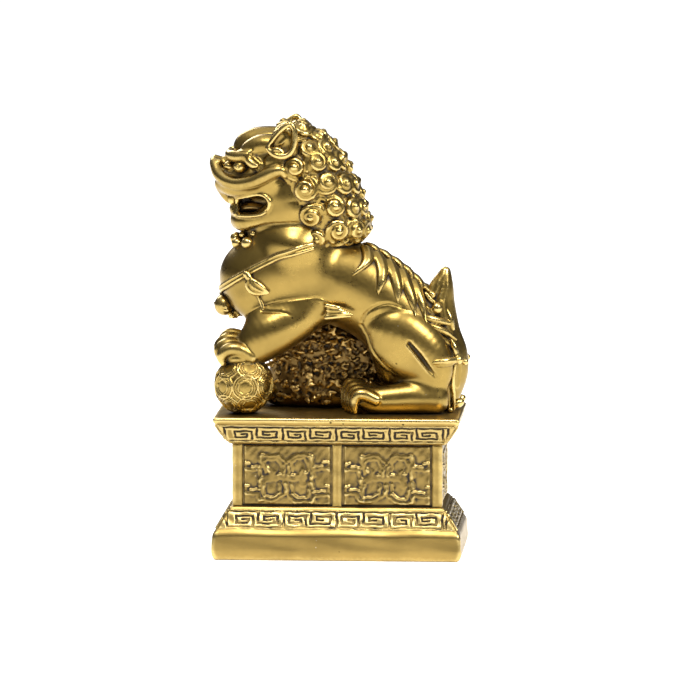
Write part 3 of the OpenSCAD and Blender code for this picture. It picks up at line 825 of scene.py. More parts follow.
mane = Clay((-32, -22, 46), (18, 0, 101))
mane.roll([(-13.5, 0, 82, 12.9), (-8.5, 0, 73.5, 12.9), (-3.4, 0, 64.5, 11.4)], 2, flat=1.12)
mane.ball((-16, 0, 90), (7.6, 9, 6.8), 2)
mane_base = mane.both()
curls = Clay((-34, -25, 46), (20, 0, 106))
ROWS = [(-14, [(-14.4, 84), (-10.9, 76.9), (-9, 67.9), (-7.4, 59.2)]),
        (-14, [(-9.4, 92), (-7, 86.2), (-3.6, 79.2), (-1.2, 70.9), (0.2, 62.6)]),
        (-10, [(-2.6, 92.6), (-1.4, 86), (2.4, 78.9), (5.2, 70.6), (6.6, 62.6)]),
        (-6, [(-18.2, 96.4), (-12.4, 97.6), (-5.4, 96), (2.6, 88), (7.2, 79), (9.6, 70.6),
              (10.8, 61.8)]),
        (0, [(-19.4, 98.2), (-12.6, 98.8), (-1, 93), (4.6, 85), (8.4, 75), (11, 66)])]
spin = 0.6
for near, row in ROWS:
    for k, (x, z) in enumerate(row):
        at = mane_base.settle([(x, near, z)])[0]
        out = mane_base.out([at])[0]
        r = 4.3 + 0.2 * math.sin(2.1 * k + near)
        if near == 0:
            at[1], out[1] = 0, 0
            r = 3.6
        snail(curls, at + out * 0.2, out, r, 2.2, spin, 1.7 + 0.15 * (k % 3),
              -1 if (k + near) % 4 else 1)
        spin += 2.3
        side, up = sideways(out)
        for reach, start, sweep in ((r + 0.3, spin, 4.2), (r + 1.2, spin + 2.6, 3.4),
                                    (r + 2.1, spin + 4.6, 2.8)):
            turns = np.linspace(start, start + sweep, 11)
            comb = at + reach * (np.cos(turns)[:, None] * side + np.sin(turns)[:, None] * up)
            comb = mane_base.settle(comb, 0.25)
            wide = 0.25 + 0.45 * np.sin(np.linspace(0.3, 2.8, 11))
            on_the_cap = np.abs(mane_base.read(comb) - 0.25).max() < 0.3
            if on_the_cap:
                curls.roll(np.hstack([comb, wide[:, None]]), 0.15, steps=1)
print("mane modelled")

# %% [markdown]
# Small tufts behind the elbow and the hock, the knobs beside the tail, and the ribbon that
# hangs from the knot at the hock.

# %% Tufts
elbow = Clay((-8, -20, 26), (10, -4, 44), FINE)
for (x0, z0), (x1, z1) in (((-3.8, 37.4), (2.8, 35.8)), ((-3.4, 35.8), (4, 35)),
                           ((-3.4, 34.3), (5, 34.3)), ((-4, 33.2), (4.2, 33.6))):
    bend = z1 + 0.3 + (z0 - z1) * 0.4
    elbow.roll([(x0, -14.6, z0, 0.8), ((x0 + x1) / 2, -15, bend, 0.9), (x1, -13.8, z1, 0.3)], 0.12)
hock = Clay((26, -18, -1), (47, 0, 28))
hock.roll([(31.2, -13.6, 17.8, 0.4), (33.6, -13.2, 18.2, 1.2), (36.6, -12, 18.4, 1.4),
           (39.4, -9.8, 18.4, 1.2)], 0.2)
hock.roll([(32.4, -13.4, 16.9, 0.4), (34.8, -12.8, 17, 0.9), (38.4, -10.4, 17.4, 0.9)], 0.2)
hock.ball((40.6, -8.6, 18.4), (1.7, 1.6, 1.6), 0.3)
hock.ball((42.8, -7, 17.6), (1.3, 1.3, 1.2), 0.2)
hock.roll([(40, -8.6, 20, 0.8), (39.4, -8.4, 22.6, 1), (38.4, -8, 25, 0.5)], 0.3)
for x, foot_x in ((36.6, 37.4), (38.6, 39.2)):
    hock.roll([(x + 1, -8.2, 17, 0.5), (x + 0.2, -7.8, 12, 0.7), (foot_x, -7.2, 5, 0.6),
               (foot_x, -6.6, 1, 0.4)], 0.15)
hock.level(0)
knobs = Clay((24, -13, -1), (47, 0, 44))
knobs.ball((33.2, -5.6, 35.6), (2, 1.9, 2.2), 0.3)
knobs.ball((40.3, -5.4, 3.1), (2.5, 2, 1.6), 0.2, lean=28)
knobs.ball((37.8, -6.6, 0.9), (1.2, 1, 1), 0.2)
for path in ([(25.6, -9, 33.4, 0.4), (29.5, -8.8, 32.8, 1.2), (33, -7.6, 31.8, 1.4),
              (37, -5.6, 30.6, 1)],
             [(28, -9.4, 31.2, 0.4), (32, -8.8, 29.6, 1.2), (36, -7, 27.8, 1.3),
              (39.4, -4.8, 25, 0.7)],
             [(31.4, -9.6, 28.2, 0.4), (34.8, -8.6, 25.6, 1.1), (38.4, -6.4, 23, 1),
              (39.6, -5.6, 20.6, 0.6)],
             [(27.6, -6.4, 38, 0.8), (29.6, -6.6, 35.8, 1.2), (31.8, -6.2, 33, 1)],
             [(29.4, -5.4, 40.6, 0.7), (31, -5.2, 38.6, 0.9), (32.6, -5, 37.4, 0.7)],
             [(36.4, -4.2, 35, 0.8), (37.6, -4.6, 32, 1.2), (38.4, -4.6, 28.6, 0.9)]):
    knobs.roll(path, 0.15)
print("tufts modelled")

# %% [markdown]
# The ball is a brocade one: rings in interlocking pairs stand up on it all over, with three
# raised petals inside each. The rock under the belly is pitted like a sponge, with beads
# and short folds between the holes.

# %% Ball and rock
BALL = np.array([-32.2, -12.2, 9.9])
BALL_R, RING_R, LEAF_R = 9.8, 9.95, 9.9
ROCK_MARKS = 1900
ball = Clay(BALL - 13, BALL + 13, FINE)
ball.ball(BALL, BALL_R, 0.2)
RING_SPOTS = []
for tier, count in ((0.0, 7), (0.72, 6), (-0.72, 6), (1.35, 2), (-1.35, 2)):
    for k in range(count):
        turn = 2 * math.pi * (k + (0.5 if tier else 0)) / count + 0.35
        RING_SPOTS.append((math.cos(tier) * math.cos(turn), math.cos(tier) * math.sin(turn),
                           math.sin(tier)))
for spot in RING_SPOTS:
    spot = np.array(spot)
    side, up = sideways(spot, (0.1, 0.2, 1))
    for reach, rope in ((0.46, 0.36), (0.35, 0.24)):
        ring = []
        for turn in np.linspace(0, 2 * math.pi, 19):
            around = spot + reach * (math.cos(turn) * side + math.sin(turn) * up)
            around *= RING_R / np.linalg.norm(around)
            ring.append((*(BALL + around), rope))
        ball.roll(ring, 0.15, steps=1)
    for turn in (0.5, 2.6, 4.7):
        leaf = []
        for sweep in (-0.9, -0.45, 0, 0.45, 0.9):
            bend = 0.26 * math.cos(sweep)
            around = spot + (bend * math.cos(turn) - 0.22 * sweep * math.sin(turn)) * side
            around = around + (bend * math.sin(turn) + 0.22 * sweep * math.cos(turn)) * up
            around *= LEAF_R / np.linalg.norm(around)
            leaf.append((*(BALL + around), 0.26))
        ball.roll(leaf, 0.1, steps=1)
ball.level(0, 0.3)
rock = Clay((-28, -2, -1), (20, 22, 33))
rock.roll([(-18.5, 11, 4, 5.5), (-6, 12, 5, 7), (8, 12, 4.6, 6), (13, 12, 6, 5)], 2)
rock.roll([(-19.5, 9, 12, 5.6), (-8, 9, 14, 7.5), (6, 9.4, 14, 7), (13, 10, 12, 5)], 3)
rock.roll([(-19.5, 6.5, 18, 4.2), (-9, 7, 22, 6), (2, 7.4, 21, 6.4), (10, 8.4, 18, 5)], 3)
rock.roll([(-9, 7.4, 25, 4), (2, 7.4, 26, 4)], 2)
rock.ball((-7, 9, 8), (15, 7, 9), 3)
for k in range(ROCK_MARKS):
    x, z = random.uniform(-27, 19), random.uniform(0, 31)
    at = rock.settle([(x, 0.5, z) if k % 3 else (x, 20, z)])[0]
    missed = abs(rock.read([at])[0]) > 0.25
    if missed:
        continue
    kind = k % 8
    if kind < 4:
        rock.ball(at, random.uniform(0.55, 1.0), 0.15, cut=True)
    elif kind < 7:
        rock.ball(at, random.uniform(0.5, 0.8), 0.1)
    else:
        run = random.uniform(0.8, 1.8)
        out = rock.out([at])[0] * 0.3
        rock.roll([(*(at + out - [run, 0, random.uniform(-0.6, 0.6)]), 0.4), (*(at + out), 0.65),
                   (*(at + out + [run, 0, random.uniform(-0.5, 0.9)]), 0.35)], 0.2)
rock.level(0)
print("ball and rock modelled")

# %% [markdown]
# Casting. The melted body is cut into its pieces, each lapping a little under the next, so no
# seam opens, and every block of clay becomes a mesh.

# %% Cast the lion
def band_share(core, form, margin, lift):
    """One form's share of the melted body: what lies within a margin of that form."""
    start = form.first - core.first
    spans = tuple(slice(a, a + n) for a, n in zip(start, form.shape))
    share = Clay((0, 0, 0), (0, 0, 0))
    share.first, share.shape = form.first.copy(), form.shape.copy()
    share.field = np.maximum(core.field[spans] - lift, form.field - margin)
    return share


PIECES = {}                      # every finished piece, and its clay if it has any


def hand_over(piece, nodes, material, clay=None):
    """Paints a finished piece and gives it to the frame."""
    piece.data.shade_smooth()
    piece.data.materials.append(material)
    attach(piece, BODY)
    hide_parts(*nodes)
    PIECES[piece.name] = (piece, clay)
    print(piece.name, len(piece.data.polygons), "quads")


def cast(clay, name, nodes, material):
    """Turns clay into a mesh of small quads, and hands it to the frame."""
    grid = openvdb.FloatGrid(FAR)
    padded = np.pad(clay.field, 1, constant_values=FAR)
    grid.copyFromArray(np.ascontiguousarray(padded, dtype=np.float32))
    points, quads = grid.convertToQuads()
    places = (points + clay.first - 1) * clay.cell + [0, 0, TOP]
    mesh = bpy.data.meshes.new(name)
    mesh.from_pydata(places * MM, [], quads.tolist())
    mesh.update()
    piece = bpy.data.objects.new(name, mesh)
    scene.collection.objects.link(piece)
    hand_over(piece, nodes, material, clay)


cast(band_share(core, trunk_whole, 1.2, 0.0), "cast_trunk", ["torso"], LION_GOLD)
cast(band_share(core, left_foreleg, 1.6, 0.05), "cast_left_foreleg", ["left_foreleg"], LION_GOLD)
cast(band_share(core, right_foreleg, 1.6, 0.05), "cast_right_foreleg", ["right_foreleg"],
     LION_GOLD)
cast(band_share(core, hind, 0.7, 0.05), "cast_left_hind_leg", ["left_hind_leg"], LION_GOLD)
cast(band_share(core, hind_far, 0.7, 0.05), "cast_right_hind_leg", ["right_hind_leg"], LION_GOLD)
cast(band_share(core, head_whole, 1.0, -0.05), "cast_head", ["head"], LION_GOLD)
cast(band_share(core, jaw_whole, 0.8, -0.1), "cast_lower_jaw", ["lower_jaw"], LION_GOLD)
cast(band_share(core, lip_whole, 0.8, -0.15), "cast_moustache_rolls", ["moustache_rolls"],
     LION_GOLD)
cast(band_share(core, nose_whole, 0.5, -0.2), "cast_nose", ["nose"], LION_GOLD)
cast(band_share(core, brows_whole, 0.5, -0.2), "cast_brows", ["brows"], LION_GOLD)
cast(band_share(core, tail_whole, 1.0, -0.05), "cast_tail", ["tail"], LION_GOLD)
for clay, name, node in ((eyes, "cast_eyes", "eyes"), (teeth, "cast_teeth", "teeth"),
                         (beads, "cast_beard_beads", "beard_beads"), (ears, "cast_ears", "ears"),
                         (curls, "cast_mane_curls", "mane_curls"),
                         (flank, "cast_flank_hair", "flank_strands"),
                         (spine, "cast_spine_tufts", "spine_tufts"),
                         (strap, "cast_chest_strap", "chest_strap"),
                         (tassel, "cast_tassels", "strap_tassels"),
                         (bell, "cast_bell", "chest_bell"),
                         (elbow, "cast_elbow_tufts", "elbow_tufts"),
                         (hock, "cast_hock_tufts", "hock_tufts"),
                         (knobs, "cast_tail_curls", "tail_curls")):
    cast(clay.both(), name, [node], LION_GOLD)
# These three sit deep in shade, and take the darker gold as painted shade.
cast(tongue.both(), "cast_tongue", ["tongue"], SHADE_DARK_GOLD)
cast(mane_base, "cast_mane_cap", ["mane_cap"], SHADE_DARK_GOLD)
cast(ball, "cast_brocade_ball", ["brocade_ball"], LION_GOLD)
cast(rock, "cast_rock", ["rockwork"], SHADE_DARK_GOLD)

# %% [markdown]
# The plinth is stiff work, so it is built by hand: a block is added at its size, drawn in or
# out to its moulding, and its edges are broken with a bevel. It is then re-meshed into small
# even quads, which soften its edges as a mould does and give the paint something to follow.

# %% Plinth blocks
BLOCK_QUAD = 0.65 * MM
POST_QUAD = 0.3 * MM


def mesh_points(mesh, what="co"):
    """Where a mesh's points are, or their normals, as rows of three."""
    row = np.empty(len(mesh.vertices) * 3, np.float32)
    mesh.vertices.foreach_get(what, row)
    return row.reshape(-1, 3)


def wobble(piece, depth):
    """Moves a mesh's points in and out by slow waves, as a hand-cut master would be."""
    mesh = piece.data
    points, normals = mesh_points(mesh), mesh_points(mesh, "normal")
    a = points / MM
    wave = (np.sin(a[:, 0] * 0.31 + a[:, 2] * 0.52) + np.sin(a[:, 0] * 0.83 - a[:, 1] * 0.47 + 1.3)
            + np.sin(a[:, 2] * 1.1 + a[:, 1] * 0.9 + a[:, 0] * 0.2)) / 3
    keep = np.clip((a[:, 2] - 0.4) / 0.8, 0, 1)
    points += normals * (wave * keep * depth * MM)[:, None]
    mesh.vertices.foreach_set("co", points.ravel())
    mesh.update()


def even_quads(piece, size):
    """Re-meshes a piece into quads of one size."""
    even = piece.modifiers.new("even quads", "REMESH")
    even.mode, even.voxel_size = "VOXEL", size
    bpy.ops.object.modifier_apply(modifier=even.name)


def moulded(name, node, levels, edge=0.7):
    """A block whose plan changes from level to level: (length, depth, height) each."""
    bpy.ops.object.select_all(action="DESELECT")
    length, depth, base = levels[0]
    bpy.ops.mesh.primitive_plane_add(size=1, location=(0, 0, base * MM))
    piece = bpy.context.object
    piece.name = name
    piece.scale = (length * MM, depth * MM, 1)
    bpy.ops.object.transform_apply(location=True, rotation=True, scale=True)
    bpy.ops.object.mode_set(mode="EDIT")
    bpy.ops.mesh.select_all(action="SELECT")
    for (l0, d0, z0), (l1, d1, z1) in zip(levels, levels[1:]):
        rise = {"value": (0, 0, (z1 - z0) * MM)}
        bpy.ops.mesh.extrude_region_move(TRANSFORM_OT_translate=rise)
        bpy.ops.transform.resize(value=(l1 / l0, d1 / d0, 1))
    bpy.ops.mesh.select_all(action="SELECT")
    bpy.ops.mesh.normals_make_consistent(inside=False)
    bpy.ops.object.mode_set(mode="OBJECT")
    bevel = piece.modifiers.new("broken edges", "BEVEL")
    bevel.width, bevel.segments, bevel.angle_limit = edge * MM, 3, math.radians(20)
    bpy.ops.object.modifier_apply(modifier=bevel.name)
    even_quads(piece, BLOCK_QUAD)
    wobble(piece, 0.08)
    hand_over(piece, [node], PLINTH_GOLD)


foot_l, foot_d = FOOT_HIGH[0] * 2, FOOT_HIGH[1] * 2
foot_top, band_top = FOOT_HIGH[2], FOOT_HIGH[2] * 0.52
waist_l, waist_d = WAIST_HIGH[0] * 2, WAIST_HIGH[1] * 2
top_l, top_d = CORNICE_HIGH[0] * 2, CORNICE_HIGH[1] * 2
moulded("cast_foot", "plinth_foot",
        [(foot_l - 2, foot_d - 2, 0), (foot_l - 0.3, foot_d - 0.3, 1.6),
         (foot_l, foot_d, 3.2), (foot_l - 0.6, foot_d - 0.6, band_top - 0.6),
         (foot_l - 2, foot_d - 2, band_top + 0.4),
         (waist_l + 3.4, waist_d + 3.4, foot_top - 0.7), (waist_l + 2.6, waist_d + 2.6, foot_top)],
        edge=0.5)
moulded("cast_waist", "plinth_waist",
        [(waist_l, waist_d, foot_top - 0.4), (waist_l, waist_d, CORNICE_LOW[2] + 0.4)])
moulded("cast_cornice", "plinth_cornice",
        [(waist_l + 3.4, waist_d + 3.4, CORNICE_LOW[2]),
         (waist_l + 4.4, waist_d + 4.4, CORNICE_LOW[2] + 0.7),
         (top_l - 1.4, top_d - 1.4, TOP - 2.2), (top_l - 0.2, top_d - 0.2, TOP - 1.4),
         (top_l, top_d, TOP - 0.8), (top_l - 1, top_d - 1, TOP)], edge=0.45)

# %% [markdown]
# Relief. A panel is a thin plate whose face is raised along drawn strokes, like a stamped
# ribbon, and a band of keys is a plate with grooves cut along its strokes. Both are made from
# one grid of small quads, pushed out by how near each point is to a stroke, and closed behind.

# %% Relief plates
def near_strokes(u, v, strokes):
    """How far each point of a face is from the nearest of some strokes, in millimetres."""
    best = np.full(u.shape, 99.0)
    for stroke in strokes:
        for (x0, y0), (x1, y1) in zip(stroke, stroke[1:]):
            dx, dy = x1 - x0, y1 - y0
            t = np.clip(((u - x0) * dx + (v - y0) * dy) / max(dx * dx + dy * dy, 1e-9), 0, 1)
            best = np.minimum(best, np.hypot(u - x0 - t * dx, v - y0 - t * dy))
    return best


def soft_step(value, low, high):
    """0 below one value, 1 above another."""
    t = np.clip((value - low) / (high - low), 0, 1)
    return t * t * (3 - 2 * t)


CARVED = {}                      # how hollow each point of a plate is, from its own carving
CREASE_REACH = 0.8               # how far round a point its hollow is judged
PAINTED_SHADE_REACH = 2.8              # the same for the soft shade in wide hollows
PLATE_BACK = 1.1                 # how far a plate's back lies behind its face


def flat_hollow(lift, step):
    """How far each point lies below the face round it."""
    mean = lift
    reach = max(1, round(CREASE_REACH / step))
    for axis in (0, 1):
        mean = sum(np.roll(mean, k, axis) for k in range(-reach, reach + 1)) / (2 * reach + 1)
    return (mean - lift) * 0.9


def relief(name, nodes, faces, height, step, wash=(1.0, 0.0)):
    """Plates with a worked face. Each face has a middle, its across and up directions, its
    half width below and above, its half height and which pattern it carries."""
    points, quads, hollows = [], [], []
    step = step * 1
    for middle, across, up, low_half, high_half, half_h, pattern in faces:
        middle, across, up = (np.array(a, float) for a in (middle, across, up))
        out = np.cross(across, up)
        columns = int(max(low_half, high_half) * 2 / step) + 2
        rows = int(half_h * 2 / step) + 2
        s, v = np.meshgrid(np.linspace(-1, 1, columns), np.linspace(-half_h, half_h, rows),
                           indexing="ij")
        wide = low_half + (high_half - low_half) * (v / half_h + 1) / 2
        u = s * wide
        lift = height(u, v, wide, half_h, pattern)
        rim = soft_step(np.minimum(wide - np.abs(u), half_h - np.abs(v)), 0, 0.35)
        lift = lift * rim - 0.5 * (1 - rim)
        hollow = flat_hollow(lift, step) * wash[0] + wash[1]
        front = middle + u[..., None] * across + v[..., None] * up + lift[..., None] * out
        back = middle + u[..., None] * across + v[..., None] * up - PLATE_BACK * out
        base = len(points)
        hollows.extend(hollow.ravel().tolist() + [0.0] * hollow.size)
        count = columns * rows
        points.extend(front.reshape(-1, 3).tolist())
        points.extend(back.reshape(-1, 3).tolist())
        number = np.arange(count).reshape(columns, rows)
        a, b, c, d = number[:-1, :-1], number[1:, :-1], number[1:, 1:], number[:-1, 1:]
        face = np.stack([a, b, c, d], -1).reshape(-1, 4) + base
        quads.extend(face.tolist())
        quads.extend((face[:, ::-1] + count).tolist())
        ring = np.concatenate([number[:, 0], number[-1, 1:], number[-2::-1, -1],
                               number[0, -2:0:-1]]) + base
        after = np.roll(ring, -1)
        quads.extend(np.stack([ring + count, after + count, after, ring], -1).tolist())
    mesh = bpy.data.meshes.new(name)
    mesh.from_pydata((np.array(points) * MM).tolist(), [], quads)
    mesh.update()
    piece = bpy.data.objects.new(name, mesh)
    scene.collection.objects.link(piece)
    CARVED[name] = np.array(hollows, np.float32)
    hand_over(piece, nodes, PLATE_GOLD)


# %% [markdown]
# A key pattern is a square spiral, turned over at every second unit. The grooves are narrow
# and waver a little, because the master was cut with a hand graver.

# %% Key bands
def key_strokes(wide, half_h, pairs):
    """The grooves of a row of keys, two to a pair, and the frame round them."""
    h = half_h - 0.85
    side = wide - 2.6
    strokes = [[(-side - 1.1, -h), (side + 1.1, -h), (side + 2, h), (-side - 2, h),
                (-side - 1.1, -h)]]
    unit = side / pairs
    for k in range(pairs):
        rising = [(0.83, -0.72), (0.83, 0.42), (0.2, 0.42), (0.2, -0.45), (0.64, -0.45),
                  (0.64, 0), (0.45, 0)]
        falling = [(1.02, 0.95), (1.02, -0.5), (1.76, -0.5), (1.76, 0.38), (1.24, 0.38),
                   (1.24, -0.06), (1.5, -0.06)]
        for line in (rising, falling, [(2, -1), (2, 1)]):
            strokes.append([(-side + unit * (2 * k + x), y * h) for x, y in line])
    return strokes


KEYS = {}


def keyed(u, v, wide, half_h, pairs):
    """A flat plate with its keys cut in."""
    drawn = (pairs, round(half_h, 2))
    if drawn not in KEYS:
        KEYS[drawn] = key_strokes(float(wide.mean()), half_h, pairs)
    shake = 0.12 * np.sin(1.1 * u + 1.4 * v) + 0.04 * np.sin(4.1 * u - 3.3 * v)
    shake_v = 0.1 * np.sin(1.3 * u + 0.7) + 0.04 * np.sin(5.2 * v + 1.1 * u)
    far = near_strokes(u + shake, v + shake_v, KEYS[drawn])
    cut = 1 - soft_step(far, 0.22, 0.46)
    swell = 0.05 * np.sin(0.9 * u + 1.3 * v)
    return 0.55 + swell - 0.5 * cut


def band_faces(low, low_z, high, high_z, pairs_long, pairs_end):
    """The four sloping faces between two rectangles."""
    faces = []
    for turn in range(4):
        half_along0, half_out0 = (low if turn % 2 == 0 else low[::-1])
        half_along1, half_out1 = (high if turn % 2 == 0 else high[::-1])
        angle = turn * math.pi / 2
        across = np.array([math.cos(angle), math.sin(angle), 0])
        outward = np.array([math.sin(angle), -math.cos(angle), 0])
        slope = outward * (half_out1 - half_out0) + np.array([0, 0, high_z - low_z])
        long = np.linalg.norm(slope)
        middle = (outward * (half_out0 + half_out1) / 2
                  + np.array([0, 0, (low_z + high_z) / 2]))
        faces.append((middle, across, slope / long, half_along0 - 0.4, half_along1 - 0.4,
                      long / 2, pairs_long if turn % 2 == 0 else pairs_end))
    return faces


relief("cast_cornice_keys", ["cornice_fret"],
       band_faces(((waist_l + 4.4) / 2, (waist_d + 4.4) / 2), CORNICE_LOW[2] + 0.7,
                  ((top_l - 1.6) / 2, (top_d - 1.6) / 2), TOP - 2.4, 4, 2), keyed, step=0.2)
relief("cast_foot_keys", ["foot_fret"],
       band_faces(((foot_l - 3) / 2, (foot_d - 3) / 2), band_top + 1.0,
                  ((waist_l + 3.8) / 2, (waist_d + 3.8) / 2), foot_top - 1.0, 4, 2), keyed,
       step=0.2)

# %% [markdown]
# The panels carry an old ribbon figure: two loops above and two below, a stem and a bow that
# tie them, and stepped straps that run out to the sides.

# %% Panels
EDGES = [[(-8.8, 2.6), (-8.8, 6.2), (-3.2, 6.4), (-0.4, 4.1), (2.7, 6.5), (8.6, 6.5), (8.7, 2.4)],
         [(-15, 1.8), (-9.9, 1.7), (-9, -1.4), (-9.4, -3.6)],
         [(15, 2), (8.9, 2), (8.6, -1.4), (9, -4)],
         [(-15, -6.2), (-10.6, -6.2), (-9.8, -8.4), (-4.6, -8.5), (-0.4, -6), (3, -8.9),
          (8.6, -8.9), (9.6, -6.8), (15, -6.8)],
         [(-7.6, 1), (-8.2, 4.2), (-7, 5.2), (-3.4, 5.4), (-2, 3.4), (-2.2, 0.8)],
         [(1.6, 1.6), (1.5, 4.4), (3.2, 5.6), (6.2, 5.6), (7.4, 3.8), (7.1, 1.6)],
         [(-1.3, 3.2), (-1.3, 0.2)], [(0.5, 3.2), (0.5, 0.2)], [(-0.4, -3), (-0.4, -5.4)],
         [(-8, -3), (-8.8, -5.4), (-8, -7)], [(-2.8, -6.2), (-2.6, -3)],
         [(1.7, -6), (1.6, -3)], [(7, -7.4), (7.6, -4.6)]]
WEBS = [[(-6.2, -0.8), (5.9, -0.8)], [(-8, 3), (-5.4, 0.6)], [(5.4, 1), (5.6, -3)],
        [(-0.4, 3), (-0.4, -5)], [(-9, -2), (-6, -1)], [(9, 0), (8.4, 6)], [(-9.2, 2), (-8.6, 6)],
        [(-9, -4), (-8.8, -8)], [(8.4, -3), (9, -8.4)]]
BARS = [[(-14.6, 3.9), (-13.2, 3.9)], [(-12.6, 2.8), (-9.8, 2.7)], [(9.3, 3), (12.2, 3.1)],
        [(12.6, 4.3), (15, 4.4)], [(-14.8, -3.7), (-13.6, -3.6)], [(-13, -4.8), (-9.8, -4.8)],
        [(9, -5.4), (13, -5.4)], [(13.6, -3.6), (15, -3.6)], [(-7.2, 2.4), (-6.4, 1.2)],
        [(-8, -7.1), (-4.8, -7.2), (-3, -6)], [(1.8, -6), (3.8, -7.6), (6.6, -7.6)]]
DOTS = [[(-3, 0.3), (-2.4, 0.3)], [(1.7, 0.3), (2.3, 0.3)], [(6.2, 0.8), (6.7, 0.8)]]


def ribboned(u, v, wide, half_h, pattern):
    """Thin raised lines, broad low ribbons and short bright bars on an uneven ground."""
    squeeze = 15.2 / float(wide.mean())
    shake = 0.2 * np.sin(0.8 * v + pattern) + 0.1 * np.sin(2.9 * v + 1.3 * u)
    shake_v = 0.18 * np.sin(0.9 * u + 2 * pattern) + 0.08 * np.sin(3.1 * u)
    x, y = u * squeeze + shake, v * 9.9 / half_h + shake_v
    web = 1 - soft_step(near_strokes(x, y, WEBS), 0.7, 1.6)
    line = 1 - soft_step(near_strokes(x, y, EDGES), 0.25, 0.95)
    bar = 1 - soft_step(near_strokes(x, y, BARS), 0.2, 0.7)
    dot = 1 - soft_step(near_strokes(x, y, DOTS), 0.25, 0.75)
    ground = 0.07 * np.sin(0.6 * x + 0.9 * y + pattern) + 0.03 * np.sin(2.1 * x - 1.7 * y)
    return 0.12 + ground + 0.22 * web + np.maximum(np.maximum(0.3 * line, 0.5 * bar), 0.45 * dot)


def panel_faces(node):
    """The outer face of a panel's plate, read from its CAD box."""
    low, high = node_box(node)
    middle, half = (low + high) / 2, (high - low) / 2
    front = half[0] > half[1]
    sign = np.sign(middle[1] if front else middle[0])
    if front:
        place, across = (middle[0], sign * (waist_d / 2 + 0.25), middle[2]), (-sign, 0, 0)
    else:
        place, across = (sign * (waist_l / 2 + 0.25), middle[1], middle[2]), (0, sign, 0)
    half_w = half[0] if front else half[1]
    return [(place, across, (0, 0, 1), half_w, half_w, half[2], middle[0] * 0.13 + sign)]


for node in ("front_left_panel", "front_right_panel", "back_left_panel", "back_right_panel",
             "left_end_panel", "right_end_panel"):
    relief("cast_" + node, [node], panel_faces(node), ribboned, step=0.28, wash=(0.6, 0.05))


# %% [markdown]
# A ribbed post stands at each corner of the waist and between the long panels. Each is a block
# whose faces are inset and raised a little, and all of one kind are joined into one piece.

# %% Posts
def posts(name, node, places, half, proud):
    """Upright ribbed bars: each a block, grooved from top to bottom on its faces."""
    made = []
    for x, y in places:
        bpy.ops.object.select_all(action="DESELECT")
        low, high = WAIST_LOW[2] - 0.3, WAIST_HIGH[2] + 0.3
        bpy.ops.mesh.primitive_cube_add(size=1, location=(x * MM, y * MM, (low + high) / 2 * MM),
                                        scale=(half[0] * 2 * MM, half[1] * 2 * MM,
                                               (high - low) * MM))
        block = bpy.context.object
        bpy.ops.object.transform_apply(location=True, rotation=True, scale=True)
        bpy.ops.object.mode_set(mode="EDIT")
        bpy.ops.mesh.select_mode(type="FACE")
        bpy.ops.mesh.select_all(action="DESELECT")
        bpy.ops.object.mode_set(mode="OBJECT")
        for face in block.data.polygons:
            face.select = abs(face.normal.z) < 0.5
        bpy.ops.object.mode_set(mode="EDIT")
        bpy.ops.mesh.inset(thickness=0.62 * MM, use_individual=True)
        bpy.ops.mesh.extrude_faces_move(TRANSFORM_OT_shrink_fatten={"value": proud * MM})
        bpy.ops.mesh.inset(thickness=0.3 * MM, use_individual=True)
        bpy.ops.object.mode_set(mode="OBJECT")
        made.append(block)
    bpy.ops.object.select_all(action="DESELECT")
    for block in made:
        block.select_set(True)
    bpy.context.view_layer.objects.active = made[0]
    bpy.ops.object.join()
    piece = bpy.context.object
    piece.name = name
    even_quads(piece, POST_QUAD)
    wobble(piece, 0.1)
    hand_over(piece, [node], PLINTH_GOLD)


_, POST_HIGH = node_box("corner_posts")
edge_x, edge_y = POST_HIGH[0] - 1.9, POST_HIGH[1] - 1.9
posts("cast_corner_posts", "corner_posts",
      [(sx * edge_x, sy * edge_y) for sx in (-1, 1) for sy in (-1, 1)], (1.6, 1.6), 0.3)
posts("cast_centre_posts", "centre_posts", [(0, -waist_d / 2), (0, waist_d / 2)], (1.5, 0.6), 0.3)

# %% [markdown]
# Last comes the patina. All the pieces are poured into one block of cells, and that block is
# blurred: after a small blur, a cell on a flat face is half full, one in a groove is fuller
# and one on an edge is emptier. A wider blur does the same for broad hollows and the places
# under and between pieces, and gives the painted shade. The fill is read back at every point
# of every mesh, and the paint follows it.

# %% Patina and painted shade
GRAIN = CELL
FILL_LOW = np.floor((np.array([-51, -30, -4.0])) / GRAIN).astype(int)
FILL_HIGH = np.ceil((np.array([51, 30, TOP + 109])) / GRAIN).astype(int)
LIFT = round(TOP / GRAIN)        # how many cells the lion's own blocks are raised


def blur(block, reach):
    """A block averaged along each axis in turn, twice."""
    for _ in range(2):
        for axis in range(3):
            total = np.cumsum(block, axis=axis, dtype=np.float32)
            ahead = np.roll(total, -reach, axis)
            behind = np.roll(total, reach + 1, axis)
            block = (ahead - behind) / (2 * reach + 1)
            edge = [slice(None)] * 3
            edge[axis] = slice(0, reach + 1)
            block[tuple(edge)] = 0
            edge[axis] = slice(-reach - 1, None)
            block[tuple(edge)] = 0
    return block


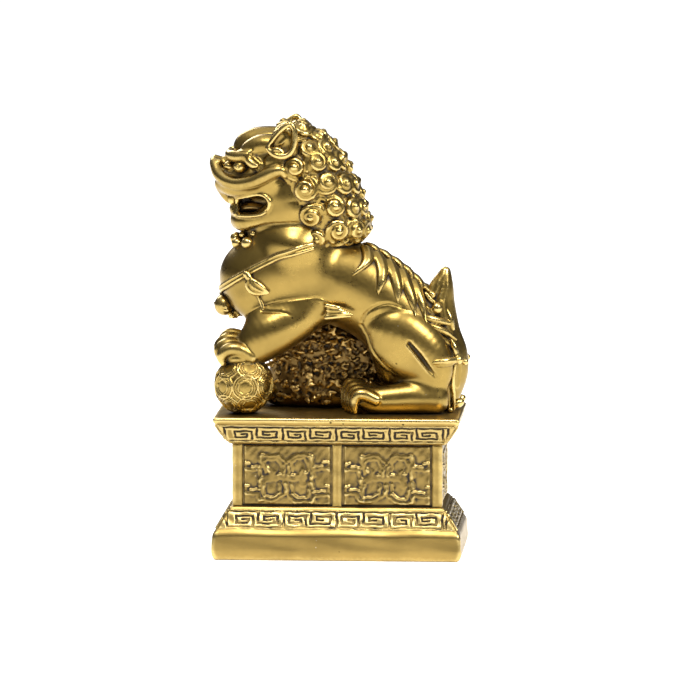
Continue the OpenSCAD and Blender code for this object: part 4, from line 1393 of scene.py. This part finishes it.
def clay_fill(clay):
    """The first cell that a block of clay takes up, and how full its cells are."""
    step = round(GRAIN / clay.cell)
    first = -(-clay.first // step)
    skip = tuple(slice(a, None, step) for a in first * step - clay.first)
    return first + [0, 0, LIFT] - FILL_LOW, np.clip(0.5 - clay.field[skip] / GRAIN, 0, 1)


def mesh_fill(mesh):
    """The same for a mesh."""
    points = mesh_points(mesh) / MM / GRAIN - FILL_LOW
    mesh.calc_loop_triangles()
    corners = np.empty(len(mesh.loop_triangles) * 3, np.int32)
    mesh.loop_triangles.foreach_get("vertices", corners)
    block = openvdb.FloatGrid.createLevelSetFromPolygons(
        points.astype(np.float32), triangles=corners.reshape(-1, 3).astype(np.uint32),
        transform=openvdb.createLinearTransform(voxelSize=1.0), halfWidth=3.0)
    first = np.floor(points.min(0)).astype(int) - 2
    size = np.ceil(points.max(0)).astype(int) + 3 - first
    field = np.full(size, 3.0, np.float32)
    block.copyToArray(field, ijk=tuple(int(a) for a in first))
    return first, np.clip(0.5 - field, 0, 1)


fill = np.zeros(FILL_HIGH - FILL_LOW, np.float32)
for piece, clay in PIECES.values():
    start, solid = mesh_fill(piece.data) if clay is None else clay_fill(clay)
    spans = tuple(slice(a, a + n) for a, n in zip(start, solid.shape))
    fill[spans] = np.maximum(fill[spans], solid)
close_fill = blur(fill, max(1, round(CREASE_REACH / GRAIN)))
# The wider blur is for the painted shade in broad hollows and between pieces.
painted_shade_fill = blur(fill, max(2, round(PAINTED_SHADE_REACH / GRAIN)))
print("cells", fill.size, "filled", round(float(fill.sum() * GRAIN ** 3 / 1000)), "cubic cm")

# %% [markdown]
# Each point of each mesh now looks up how full the blurred blocks are round it, and keeps the
# two answers for the paint. A relief plate adds the depth of its own carving, which is finer
# than the cells.

# %% Guides for the paint
for name, (piece, clay) in PIECES.items():
    points = mesh_points(piece.data) / MM
    if clay is not None:
        points = points + [0, 0, LIFT * GRAIN - TOP]
    # The second guide steers the painted shade.
    for layer, block in (("hollow", close_fill), ("painted_shade", painted_shade_fill)):
        values = sample(block, points / GRAIN - FILL_LOW).astype(np.float32)
        if layer == "hollow" and name in CARVED:
            values = values + CARVED[name]
        guide = piece.data.attributes.new(layer, "FLOAT", "POINT")
        guide.data.foreach_set("value", values)
print("guides kept on", len(PIECES), "pieces")
